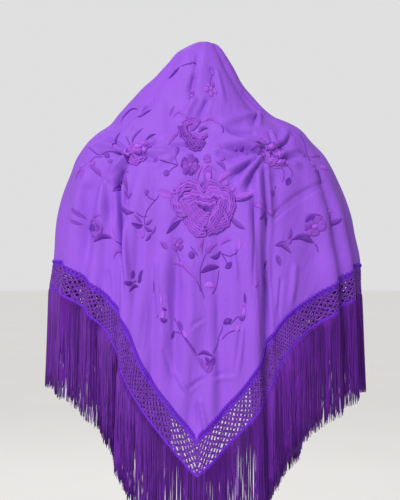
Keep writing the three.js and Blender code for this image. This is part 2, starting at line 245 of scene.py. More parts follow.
# Faint waves of a cloth that hangs loosely: their lengths across and down the flat
# cloth and their height, in millimetres, and where each starts.
RIPPLES = [
    {"across": 71, "down": 420, "height": 0.7, "start": 0.4},
    {"across": -96, "down": 260, "height": 0.8, "start": 2.1},
    {"across": 43, "down": -610, "height": 0.35, "start": 4.0},
    {"across": 151, "down": 117, "height": 0.6, "start": 1.3},
]
NUDGE = 0.0012  # the step over which a slope of the cloth is taken

# How much lower the cloth hangs on the left side: the middle and the breadth of the
# dip in degrees about the middle line, where it starts and ends, and its depth.
DIP = {"angle": -93, "breadth": 36, "from reach": 0.3, "to reach": 0.52, "drop": 0.042}


def smooth(low, high, value):
    """A soft step from 0 at low to 1 at high."""
    t = np.clip((value - low) / (high - low), 0, 1)
    return t * t * (3 - 2 * t)


def along(keys, values, at):
    """The smooth curve through a table's column, read at the given keys."""
    keys = np.asarray(keys, float)
    values = np.asarray(values, float)
    before = np.maximum(np.arange(len(keys)) - 1, 0)
    after = np.minimum(np.arange(len(keys)) + 1, len(keys) - 1)
    slope = (values[after] - values[before]) / (keys[after] - keys[before])
    i = np.clip(np.searchsorted(keys, at) - 1, 0, len(keys) - 2)
    span = keys[i + 1] - keys[i]
    t = np.clip((at - keys[i]) / span, 0, 1)
    t2, t3 = t * t, t * t * t
    ends = values[i] * (2 * t3 - 3 * t2 + 1) + values[i + 1] * (3 * t2 - 2 * t3)
    return ends + slope[i] * span * (t3 - 2 * t2 + t) + slope[i + 1] * span * (t3 - t2)


def unit(vectors):
    """Vectors of length one in the same directions."""
    return vectors / np.maximum(np.linalg.norm(vectors, axis=-1, keepdims=True), 1e-12)


class Drape:
    """How the flat cloth hangs: u runs across from the middle, v down from the long edge."""

    def __init__(self, sizes):
        self.depth = sizes.long_edge / 2
        self.leg = sizes.long_edge / math.sqrt(2)
        self.neck_in = sizes.neck_in
        self.form = dict(zip(FORM_COLUMNS, np.array(FORM, float).T * MM))
        self.turn = dict(zip(TURN_COLUMNS, np.array(TURN, float).T))

    def polar(self, u, v):
        """The reach and the ray of a flat place."""
        down = v - self.neck_in
        return np.hypot(u, down), np.degrees(np.arctan2(u, down))

    def angle(self, reach, ray):
        """The angle about the middle line at which a ray hangs, in degrees."""
        turned = [along(self.turn["ray"], self.turn[name], np.abs(ray)) for name, _ in LEVELS]
        angle = turned[0]
        for i in range(1, len(LEVELS)):
            high, low = LEVELS[i - 1][1] * MM, LEVELS[i][1] * MM
            t = smooth(high, low, reach)
            angle = np.where(reach > high, turned[i - 1] * (1 - t) + turned[i] * t, angle)
        return np.sign(ray) * angle + SWING * smooth(0, SWING_REACH, reach)

    def form_point(self, u, v):
        """Where a flat place lies on the smooth form, without folds."""
        reach, ray = self.polar(u, v)
        angle = np.radians(self.angle(reach, ray))
        s, c = np.sin(angle), np.cos(angle)
        read = {name: along(self.form["reach"], self.form[name], reach) for name in FORM_COLUMNS[1:]}
        across = s * np.where(s < 0, read["left out"], read["right out"])
        depth = -c * np.where(c > 0, read["back out"], read["front out"])
        side_drop = np.where(s < 0, read["left drop"], read["right drop"])
        face_drop = np.where(c > 0, read["back drop"], read["front drop"])
        off = (np.degrees(angle) - DIP["angle"]) / DIP["breadth"]
        dip = DIP["drop"] * np.exp(-off * off) * smooth(DIP["from reach"], DIP["to reach"], reach)
        return np.stack([across, depth, -(s * s * side_drop + c * c * face_drop + dip)], -1)

    def rise(self, u, v, drop):
        """How far the folds and ripples lift a flat place off the form."""
        angle = self.angle(*self.polar(u, v))
        total = np.zeros_like(angle)
        for row in FOLDS.values():
            fold = dict(zip(FOLD_COLUMNS, row))
            top, foot = fold["top"], fold["foot"]
            run = np.clip((drop / MM - top) / (foot - top), 0, 1)
            off = angle - fold["from"] - (fold["to"] - fold["from"]) * run
            off = off / np.where(off < 0, fold["left width"], fold["right width"])
            fade = min(FOLD_FADE, (foot - top) / 3)
            shown = smooth(top - fade, top + fade, drop / MM)
            shown = shown * (1 - smooth(foot - fade, foot + fade, drop / MM))
            total += fold["rise"] * MM * np.exp(-off * off) * shown
        total += self.creases(u / MM, v / MM) * MM
        for ripple in RIPPLES:
            turn = TAU * (u / ripple["across"] + v / ripple["down"]) / MM + ripple["start"]
            total += ripple["height"] * MM * np.sin(turn)
        return total

    def creases(self, u, v):
        """How far the sharper folds lift a flat place, all in millimetres."""
        total = np.zeros_like(u)
        for row in CREASES:
            crease = dict(zip(CREASE_COLUMNS, row))
            over, down = crease["end u"] - crease["u"], crease["end v"] - crease["v"]
            length = math.hypot(over, down)
            along_u, along_v = over / length, down / length
            from_u, from_v = u - crease["u"], v - crease["v"]
            t = np.clip((from_u * along_u + from_v * along_v) / length, 0, 1)
            off = from_u * along_v - from_v * along_u - crease["bow"] * 4 * t * (1 - t)
            off = off / (crease["width"] + (crease["end width"] - crease["width"]) * t)
            shown = smooth(0, CREASE_RISES, t) * (1 - smooth(CREASE_FADES, 1, t))
            total += crease["rise"] * np.exp(-off * off) * shown
        return total

    def outward(self, surface, u, v):
        """The outward direction of a surface that is a function of u and v."""
        over = surface(u + NUDGE, v) - surface(u - NUDGE, v)
        up = surface(u, v - NUDGE) - surface(u, v + NUDGE)
        return unit(np.cross(over, up))

    def surface(self, u, v):
        """The underside of the draped cloth, with its folds."""
        point = self.form_point(u, v)
        rise = self.rise(u, v, -point[..., 2])
        return point + self.outward(self.form_point, u, v) * rise[..., None]

    def hang(self, u, v, lift=0.0):
        """Places above the underside of the draped cloth, and their outward directions."""
        out = self.outward(self.surface, u, v)
        return self.surface(u, v) + out * np.broadcast_to(lift, np.shape(u))[..., None], out

    def edge_place(self, side, run, out):
        """The flat place at a run up a short edge from the low corner, and a distance outside it.

        The places fan out towards the low corner, where the two sides meet in a mitre."""
        out = out * (1 - CORNER_TUCK * np.clip(1 - run / CORNER_TUCK_RUN, 0, 1) ** 2)
        a = run - out * np.clip(1 - run / CORNER, 0, 1) ** 2
        u, v = (a + out) / math.sqrt(2), self.depth - (a - out) / math.sqrt(2)
        return SIDES[side] * u, v


def grid_faces(rows, columns, closed=False):
    """The four corners of each cell of a grid of points, the columns joined round if closed."""
    across = np.arange(columns if closed else columns - 1)
    i, j = np.meshgrid(np.arange(rows - 1), across, indexing="ij")
    here, below, k = i * columns, (i + 1) * columns, (j + 1) % columns
    return np.stack([here + j, here + k, below + k, below + j], -1).reshape(-1, 4)


class Pieces:
    """Points and faces gathered for one joined mesh."""

    def __init__(self):
        self.points, self.faces, self.uvs, self.tones, self.count = [], [], [], [], 0

    def add(self, points, faces, uv, tone=0.5):
        """Adds one form, with a flat coordinate and a tone for each of its points."""
        points = np.asarray(points, float).reshape(-1, 3)
        self.points.append(points)
        self.faces.extend((np.asarray(face, int) + self.count) for face in faces)
        self.uvs.append(np.asarray(uv, float).reshape(-1, 2))
        self.tones.append(np.broadcast_to(tone, len(points)))
        self.count += len(points)

    def make(self, name, material):
        """The finished object, smooth, with the map "flat" and the attribute "tone"."""
        mesh = bpy.data.meshes.new(name)
        faces = [quads.tolist() for quads in self.faces]
        mesh.from_pydata(np.concatenate(self.points).tolist(), [], sum(faces, []))
        corners = np.zeros(len(mesh.loops), int)
        mesh.loops.foreach_get("vertex_index", corners)
        layer = mesh.uv_layers.new(name="flat")
        layer.data.foreach_set("uv", np.concatenate(self.uvs)[corners].ravel())
        tone = mesh.attributes.new("tone", "FLOAT", "POINT")
        tone.data.foreach_set("value", np.concatenate(self.tones).astype(np.float32))
        mesh.shade_smooth()
        mesh.materials.append(material)
        made = bpy.data.objects.new(name, mesh)
        bpy.context.collection.objects.link(made)
        return made


def add_tubes(pieces, centres, outs, radius, corners, tone=0.5, flatten=1.0):
    """Adds closed tubes along many lines at once.

    centres and outs are lines x points x 3, radius lines x points or a number."""
    lines, steps = centres.shape[:2]
    forward = unit(np.gradient(centres, axis=1))
    sideways = unit(np.cross(outs, forward))
    upward = np.cross(forward, sideways)
    turn = TAU * np.arange(corners) / corners
    radius = np.broadcast_to(radius, (lines, steps))[..., None, None]
    beside = np.cos(turn)[:, None] * sideways[:, :, None]
    above = flatten * np.sin(turn)[:, None] * upward[:, :, None]
    points = centres[:, :, None] + radius * (beside + above)
    wall = grid_faces(steps, corners, closed=True)
    first = np.arange(corners)[::-1]
    last = (steps - 1) * corners + np.arange(corners)
    starts = np.arange(lines) * steps * corners
    faces = [(starts[:, None, None] + wall).reshape(-1, 4)]
    faces.append(starts[:, None] + first)
    faces.append(starts[:, None] + last)
    strides = np.linalg.norm(np.diff(centres, axis=1, prepend=centres[:, :1]), axis=2)
    length = np.cumsum(strides, axis=1)
    uv = np.stack(np.broadcast_arrays(length[:, :, None], (turn / TAU)[None, None]), -1)
    tones = np.broadcast_to(np.reshape(tone, (-1, 1, 1)), (lines, steps, corners)).reshape(-1)
    pieces.add(points, faces, uv, tones)


def finish_piece(piece, nodes=()):
    """Hangs a finished piece on the root, and hides the parts that it stands in for."""
    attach(piece, "root")
    if nodes:
        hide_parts(*nodes)
    return piece


class Wire:
    """A socket of a material, or a value worked out from sockets by arithmetic."""

    def __init__(self, look, socket):
        self.look, self.socket = look, socket

    def maths(self, operation, *values):
        inputs = dict(enumerate(values))
        return self.look.node("ShaderNodeMath", {"operation": operation}, inputs)

    def __add__(self, other):
        return self.maths("ADD", self, other)

    def __sub__(self, other):
        return self.maths("SUBTRACT", self, other)

    def __rsub__(self, other):
        return self.maths("SUBTRACT", other, self)

    def __mul__(self, other):
        return self.maths("MULTIPLY", self, other)

    __radd__ = __add__
    __rmul__ = __mul__

    def sine(self):
        return self.maths("SINE", self)


class Look:
    """A material under construction."""

    def __init__(self, name):
        self.material = bpy.data.materials.new(name)
        self.material.use_nodes = True
        self.tree = self.material.node_tree
        self.tree.nodes.clear()

    def node(self, kind, settings=None, inputs=None, output=0):
        """Adds a node: its settings are set first, then the values or links of its sockets."""
        made = self.tree.nodes.new(kind)
        for name, value in (settings or {}).items():
            setattr(made, name, value)
        for name, value in (inputs or {}).items():
            if isinstance(value, Wire):
                self.tree.links.new(value.socket, made.inputs[name])
            else:
                made.inputs[name].default_value = value
        return Wire(self, made.outputs[output]) if made.outputs else None

    def mix(self, factor, first, second):
        """One colour turned into another by a factor."""
        return self.node("ShaderNodeMix", {"data_type": "RGBA"}, {0: factor, 6: first, 7: second}, 2)

    def noise(self, vector, scale, detail=2.0, roughness=0.5):
        """A cloudy value between 0 and 1."""
        inputs = {"Vector": vector, "Scale": scale, "Detail": detail, "Roughness": roughness}
        return self.node("ShaderNodeTexNoise", None, inputs)

    def bump(self, height, strength, distance):
        inputs = {"Height": height, "Strength": strength, "Distance": distance}
        return self.node("ShaderNodeBump", None, inputs)

    def stretch(self, vector, scale):
        """A coordinate with each of its axes scaled."""
        return self.node("ShaderNodeMapping", None, {"Vector": vector, "Scale": scale})

    def place(self):
        """Where a point is on the object, in metres."""
        return self.node("ShaderNodeTexCoord", None, None, "Object")

    def flat(self):
        """Where a point is on the piece's own map."""
        return self.node("ShaderNodeUVMap", {"uv_map": "flat"})

    def axes(self, vector):
        split = self.node("ShaderNodeSeparateXYZ", None, {"Vector": vector})
        outputs = split.socket.node.outputs
        return [Wire(self, outputs[axis]) for axis in "XYZ"]

    def attribute(self, name):
        return self.node("ShaderNodeAttribute", {"attribute_name": name}, None, "Fac")

    def surface(self, inputs):
        """Ends the material with its shader."""
        shader = self.node("ShaderNodeBsdfPrincipled", None, inputs)
        self.node("ShaderNodeOutputMaterial", None, {"Surface": shader})
        return self.material


def tint(colour, factor):
    """A colour made lighter or darker, with its alpha."""
    return (*(min(1.0, channel * factor) for channel in colour[:3]), 1.0)


def crepe_look(name, colour):
    """Silky crepe: fine grain, soft wrinkles, a faint sheen and slight clouds of tone."""
    look = Look(name)
    flat = look.flat()
    clouds = look.noise(look.place(), 9.0, 3.0)
    grain = look.noise(look.stretch(flat, (1.0, 0.8, 1.0)), 1300.0, 2.0)
    wrinkles = look.noise(look.stretch(flat, (1.0, 0.3, 1.0)), 52.0, 4.0, 0.55)
    base = look.mix(clouds, tint(colour, 0.93), tint(colour, 1.07))
    base = look.mix(grain * 0.3, base, tint(colour, 0.72))
    wrinkled = look.bump(wrinkles, 0.5, 0.005)
    normal = look.node("ShaderNodeBump", None, {
        "Height": grain, "Strength": 0.35, "Distance": 0.0005, "Normal": wrinkled})
    return look.surface({
        "Base Color": base,
        "Roughness": clouds * 0.1 + 0.52,
        "Normal": normal,
        "Sheen Weight": 0.1,
        "Sheen Roughness": 0.4,
        "Sheen Tint": (0.75, 0.5, 1.0, 1.0),
        "Specular IOR Level": 0.14,
    })


SILK_SHEEN = {"Sheen Weight": 0.08, "Sheen Roughness": 0.4, "Sheen Tint": (0.8, 0.4, 1.0, 1.0)}
STITCH_PITCH = 0.0011
STITCH_SLANT = 0.0031


def thread_look(name, dark, light, twist, roughness=0.45):
    """Twisted silk thread: tones by strand, and plies that wind round it."""
    look = Look(name)
    run, round_it, _ = look.axes(look.flat())
    plies = (run * (TAU / twist) + round_it * TAU).sine()
    grey = look.noise(look.place(), 60.0, 2.0)
    tone = look.attribute("tone")
    base = look.mix(tone * 0.75 + grey * 0.25, tint(dark, 1.0), tint(light, 1.0))
    base = look.mix(plies * 0.12 + 0.12, base, tint(dark, 0.5))
    return look.surface({
        "Base Color": base,
        "Roughness": grey * 0.15 + (roughness - 0.07),
        "Normal": look.bump(plies, 0.5, 0.0004),
        **SILK_SHEEN,
        "Specular IOR Level": 0.2,
    })


def stitch_look(dark, light):
    """Satin stitch: glossy silk laid side by side across each band."""
    look = Look("satin_stitch")
    run, across, _ = look.axes(look.flat())
    tone = look.attribute("tone")
    threads = (run * (TAU / STITCH_PITCH) + across * (TAU / STITCH_SLANT)).sine()
    streaks = look.noise(look.stretch(look.flat(), (1400.0, 160.0, 1.0)), 1.0, 2.0)
    # The tone mixes the silk's painted-shade colour with its painted-sheen colour.
    base = look.mix(tone * 0.85 + streaks * 0.2 - 0.03, tint(dark, 1.0), tint(light, 1.0))
    base = look.mix(threads * 0.08 + 0.08, base, tint(dark, 0.6))
    return look.surface({
        "Base Color": base,
        "Roughness": streaks * 0.2 + 0.3,
        "Normal": look.bump(threads, 0.6, 0.0003),
        **SILK_SHEEN,
        "Specular IOR Level": 0.22,
    })


def backdrop_look():
    """A plain pale floor."""
    look = Look("studio_floor")
    shade = look.noise(look.place(), 1.5, 2.0)
    base = look.mix(shade, (0.78, 0.77, 0.76, 1.0), (0.82, 0.81, 0.80, 1.0))
    return look.surface({"Base Color": base, "Roughness": 0.9})


def length(name, description, default, least=0.0):
    """A length in metres that the panel shows."""
    return FloatProperty(name=name, description=description, default=default, min=least,
                         subtype="DISTANCE", unit="LENGTH")


def dye(name, description, red, green, blue):
    """A colour that the panel shows."""
    return FloatVectorProperty(name=name, description=description, default=(red, green, blue, 1.0),
                               subtype="COLOR", size=4, min=0, max=1)


class ShawlSizes(bpy.types.PropertyGroup):
    """The sizes that the shawl is cut and knotted to."""

    long_edge: length("Long edge", "The edge over the neck and down the two fronts", 1.6, 0.5)
    neck_in: length("Neck in", "From the long edge to the point on top of the neck", 0.069)
    cloth_wall: length("Cloth wall", "How thick the crepe is", 0.0011, 0.0003)
    cloth_cells: IntProperty(
        name="Cloth cells", description="Mesh cells along each short edge", default=308, min=40)
    seam_gap: length("Seam gap", "Between the cloth, braid, net and cord", 0.0007)
    braid_width: length("Braid width", "The heading braid along the short edges", 0.005, 0.001)
    net_width: length("Net width", "From the heading braid to the hem cord", 0.038, 0.01)
    cord_width: length("Cord width", "The hem cord that the fringe hangs from", 0.005, 0.001)
    net_rows: IntProperty(
        name="Net rows", description="Half meshes across the net", default=8, min=2)
    net_pitch: length("Net pitch", "The length of one mesh along the net", 0.0098, 0.004)
    fringe_length: length("Fringe length", "From the hem cord to the tips", 0.172, 0.01)
    fringe_strands: IntProperty(
        name="Fringe strands", description="Threads along each side", default=2500, min=10)


class ShawlColours(bpy.types.PropertyGroup):
    """The dyes of the cloth and the threads, and the painted shade and painted sheen of the embroidery
    silk.
    """

    cloth: dye("Cloth", "The crepe", 0.235, 0.072, 0.56)
    # The two stitch colours are a shaded and a lit copy of the silk's purple: painted shade and painted
    # sheen.
    stitch_painted_shade: dye("Dark stitches", "Shaded embroidery silk", 0.075, 0.006, 0.28)
    stitch_painted_sheen: dye("Light stitches", "Bright embroidery silk", 0.44, 0.115, 0.82)
    braid: dye("Braid", "The braid and the hem cord", 0.125, 0.012, 0.50)
    net: dye("Net", "The knotted cords", 0.14, 0.028, 0.34)
    fringe: dye("Fringe", "The fringe threads", 0.098, 0.009, 0.245)


class ShawlStage(bpy.types.PropertyGroup):
    """The camera and the floor."""

    camera_back: length("Camera distance", "From the camera to the shawl's origin", 2.1, 0.5)
    camera_height: length("Camera height", "Above the shawl's origin", -0.368, -10.0)
    camera_across: length("Camera across", "Towards the right as worn", -0.0089, -10.0)
    camera_lens: FloatProperty(
        name="Lens", description="Focal length in millimetres", default=85.4, min=10)
    floor_drop: length("Floor drop", "From the shawl's origin down to the floor", 1.45)


def edge_line(drape, side, out, lift, runs):
    """A line along a short edge at distances outside it, hung: its points and outward directions."""
    u, v = drape.edge_place(side, runs, out)
    return drape.hang(u, v, lift)


PLY_TONES = (0.3, 0.5, 0.7)
PLY_FLATNESS = 0.6


def add_plait(pieces, drape, side, middle, width, height, pitch, thread, step):
    """Adds three threads plaited together along a short edge."""
    runs = np.arange(0, drape.leg + step / 2, step)
    for ply, tone in enumerate(PLY_TONES):
        turn = TAU * (runs / pitch + ply / len(PLY_TONES))
        out = middle + (width / 2 - thread) * np.sin(turn)
        lift = height * np.sin(2 * turn)
        centres, outs = edge_line(drape, side, out, lift, runs)
        add_tubes(pieces, centres[None], outs[None], thread, 5, tone, PLY_FLATNESS)


class SHAWL_OT_cloth(bpy.types.Operator):
    """Hang the triangle of crepe, after the pieces that are on it"""

    bl_idname = "shawl.cloth"
    bl_label = "Cloth"

    def execute(self, context):
        sizes = context.scene.shawl_sizes
        drape = Drape(sizes)
        look = crepe_look("silk_crepe", context.scene.shawl_colours.cloth)
        cloth = self.hung_triangle(drape, sizes.cloth_cells).make("crepe_cloth", look)
        wall = cloth.modifiers.new("wall", "SOLIDIFY")
        wall.thickness, wall.offset = sizes.cloth_wall, 1.0
        bpy.ops.object.select_all(action="DESELECT")
        context.view_layer.objects.active = cloth
        bpy.ops.object.modifier_apply(modifier=wall.name)
        finish_piece(cloth, ["shawl_cloth"])
        return {"FINISHED"}

    def hung_triangle(self, drape, cells):
        """Square cells along both short edges, and half cells along the long edge."""
        i, j = np.meshgrid(np.arange(cells + 1), np.arange(cells + 1), indexing="ij")
        kept = i + j <= cells
        number = np.full(kept.shape, -1)
        number[kept] = np.arange(kept.sum())
        a, b = (grid[kept] * drape.leg / cells for grid in (i, j))
        u, v = (a - b) / math.sqrt(2), drape.depth - (a + b) / math.sqrt(2)
        points, _ = drape.hang(u, v)
        steps_in = (i + j)[:-1, :-1]
        whole, last = steps_in <= cells - 2, steps_in == cells - 1
        corner = number[:-1, :-1], number[1:, :-1], number[1:, 1:], number[:-1, 1:]
        quads = np.stack([grid[whole] for grid in corner], -1)
        halves = np.stack([corner[k][last] for k in (0, 1, 3)], -1)
        pieces = Pieces()
        pieces.add(points, [quads, halves], np.stack([u, v], -1))
        return pieces


class SHAWL_OT_hem(bpy.types.Operator):
    """Roll the narrow hem along the long edge"""

    bl_idname = "shawl.hem"
    bl_label = "Rolled hem"

    RADIUS = 0.0013
    STEP = 0.004
    FROM_EDGE = 0.0004
    FROM_TIP = 0.004
    CORNERS = 8

    def execute(self, context):
        sizes = context.scene.shawl_sizes
        drape = Drape(sizes)
        end = sizes.long_edge / 2 - self.FROM_TIP
        u = np.linspace(-end, end, round(2 * end / self.STEP) + 1)
        centres, outs = drape.hang(u, np.full(len(u), self.FROM_EDGE), sizes.cloth_wall / 2)
        pieces = Pieces()
        add_tubes(pieces, centres[None], outs[None], self.RADIUS, self.CORNERS)
        look = crepe_look("hem_crepe", tint(context.scene.shawl_colours.cloth, 0.9))
        finish_piece(pieces.make("rolled_hem", look))
        return {"FINISHED"}


class SHAWL_OT_braids(bpy.types.Operator):
    """Plait the heading braid with its picots along both short edges"""

    bl_idname = "shawl.braids"
    bl_label = "Heading braids"

    PLAIT = {"width": 0.0082, "height": 0.0009, "pitch": 0.0084, "thread": 0.0018, "step": 0.0015}
    PICOTS_A_TURN = 1.5
    PICOT_SPAN = 0.27
    PICOT_REACH = 0.0042
    PICOT_THREAD = 0.0013
    PICOT_LIFT = 0.0018
    PICOT_TONE = 0.65

    def execute(self, context):
        sizes = context.scene.shawl_sizes
        drape = Drape(sizes)
        colour = context.scene.shawl_colours.braid
        look = thread_look("braid", tint(colour, 0.75), tint(colour, 1.3), 0.003)
        middle = sizes.seam_gap + sizes.braid_width / 2
        for side in SIDES:
            pieces = Pieces()
            add_plait(pieces, drape, side, middle, **self.PLAIT)
            self.add_picots(pieces, drape, side, middle)
            braid = pieces.make(f"braid_{side}", look)
            finish_piece(braid, [f"heading_braid_{side}"])
        return {"FINISHED"}

    def add_picots(self, pieces, drape, side, middle):
        """Small loops over the cloth's edge, three for two turns of the plait."""
        pitch = self.PLAIT["pitch"]
        starts = np.arange(pitch, drape.leg - pitch, pitch / self.PICOTS_A_TURN)
        turn = np.linspace(0, math.pi, 7)
        runs = starts[:, None] + pitch * self.PICOT_SPAN * np.cos(turn)
        inner = middle - self.PLAIT["width"] / 2 + self.PICOT_THREAD
        out = np.broadcast_to(inner - self.PICOT_REACH * np.sin(turn), runs.shape)
        centres, outs = edge_line(drape, side, out, self.PICOT_LIFT, runs)
        add_tubes(pieces, centres, outs, self.PICOT_THREAD, 4, self.PICOT_TONE)


class SHAWL_OT_nets(bpy.types.Operator):
    """Knot the net along both short edges"""

    bl_idname = "shawl.nets"
    bl_label = "Knotted nets"

    CORD = 0.0014
    CORD_TONE = 0.55
    CORD_TONE_SPREAD = 0.25
    SPREAD = 0.001
    BOW = 0.0004
    SLANT = 0.7
    FULLNESS = 0.6
    PASS_OVER = 0.0006
    UNEVEN = 0.0006
    STEPS = 3
    KNOT = 0.0023
    KNOT_TAPER = 0.6
    KNOT_FLATNESS = 0.8
    KNOT_TONE = 0.6
    KNOT_TONE_SPREAD = 0.2

    def execute(self, context):
        sizes = context.scene.shawl_sizes
        drape = Drape(sizes)
        colour = context.scene.shawl_colours.net
        look = thread_look("knotted_net", tint(colour, 0.6), tint(colour, 1.5), 0.0025)
        draws = np.random.RandomState(7)
        for side in SIDES:
            net = self.knotted_band(drape, side, sizes, draws).make(f"net_{side}", look)
            finish_piece(net, [f"net_band_{side}"])
        return {"FINISHED"}

    def knotted_band(self, drape, side, sizes, draws):
        """Pairs of slack cords that lean by turns from knot to knot, and the knots."""
        start = 2 * sizes.seam_gap + sizes.braid_width
        rows = sizes.net_rows
        columns = round(drape.leg / sizes.net_pitch)
        pitch = drape.leg / columns
        grids = np.meshgrid(np.arange(rows), np.arange(columns + 1), (-0.5, 0.5), indexing="ij")
        row, column, lean = (grid.ravel() for grid in grids)
        from_run = (column + 0.5 * (row % 2)) * pitch
        to_run = from_run + lean * pitch
        kept = (to_run >= 0) & (to_run <= drape.leg) & (from_run <= drape.leg)
        row, column, lean = row[kept], column[kept], lean[kept]
        from_run, to_run = from_run[kept, None], to_run[kept, None]
        next_column = column + (row % 2 + (lean > 0) - 1)
        shift = self.UNEVEN * draws.normal(size=(rows + 1, columns + 2, 2))
        shift[[0, -1], :, 1] = 0
        t = np.linspace(0, 1, self.STEPS)
        moved = shift[row, column, None] * (1 - t)[:, None] + shift[row + 1, next_column, None] * t[:, None]
        way = np.sign(lean)[:, None]
        pieces = Pieces()
        for strand in (-1, 1):
            bow = self.SPREAD * strand + self.BOW * draws.normal(size=(len(row), 1))
            swell = bow * np.sin(math.pi * t) ** self.FULLNESS * self.SLANT
            runs = from_run + (to_run - from_run) * t + swell + moved[..., 0]
            out = start + (row[:, None] + t) * sizes.net_width / rows - swell * way + moved[..., 1]
            lift = self.PASS_OVER * strand * way * np.sin(math.pi * t)
            centres, outs = edge_line(drape, side, out, lift, runs)
            tone = np.clip(self.CORD_TONE + self.CORD_TONE_SPREAD * draws.normal(size=len(row)), 0, 1)
            add_tubes(pieces, centres, outs, self.CORD, 4, tone)
        self.add_knots(pieces, drape, side, start, pitch, shift, sizes, draws)
        return pieces

    def add_knots(self, pieces, drape, side, start, pitch, shift, sizes, draws):
        """A small turned knot wherever the cords of two meshes meet."""
        row, column = (grid.ravel() for grid in np.indices(shift.shape[:2]))
        runs = (column + 0.5 * (row % 2)) * pitch + shift[row, column, 0]
        kept = (column < shift.shape[1] - 1) & (runs <= drape.leg)
        row, column, runs = row[kept], column[kept], runs[kept]
        out = start + row * sizes.net_width / sizes.net_rows + shift[row, column, 1]
        t = np.array([-1.0, 0.0, 1.0])
        across = out[:, None] + self.KNOT * t
        runs = np.broadcast_to(runs[:, None], across.shape)
        centres, outs = edge_line(drape, side, across, 0.0, runs)
        radius = self.KNOT * (1 - self.KNOT_TAPER * t * t)
        tone = np.clip(self.KNOT_TONE + self.KNOT_TONE_SPREAD * draws.normal(size=len(row)), 0, 1)
        add_tubes(pieces, centres, outs, radius, 5, tone, self.KNOT_FLATNESS)
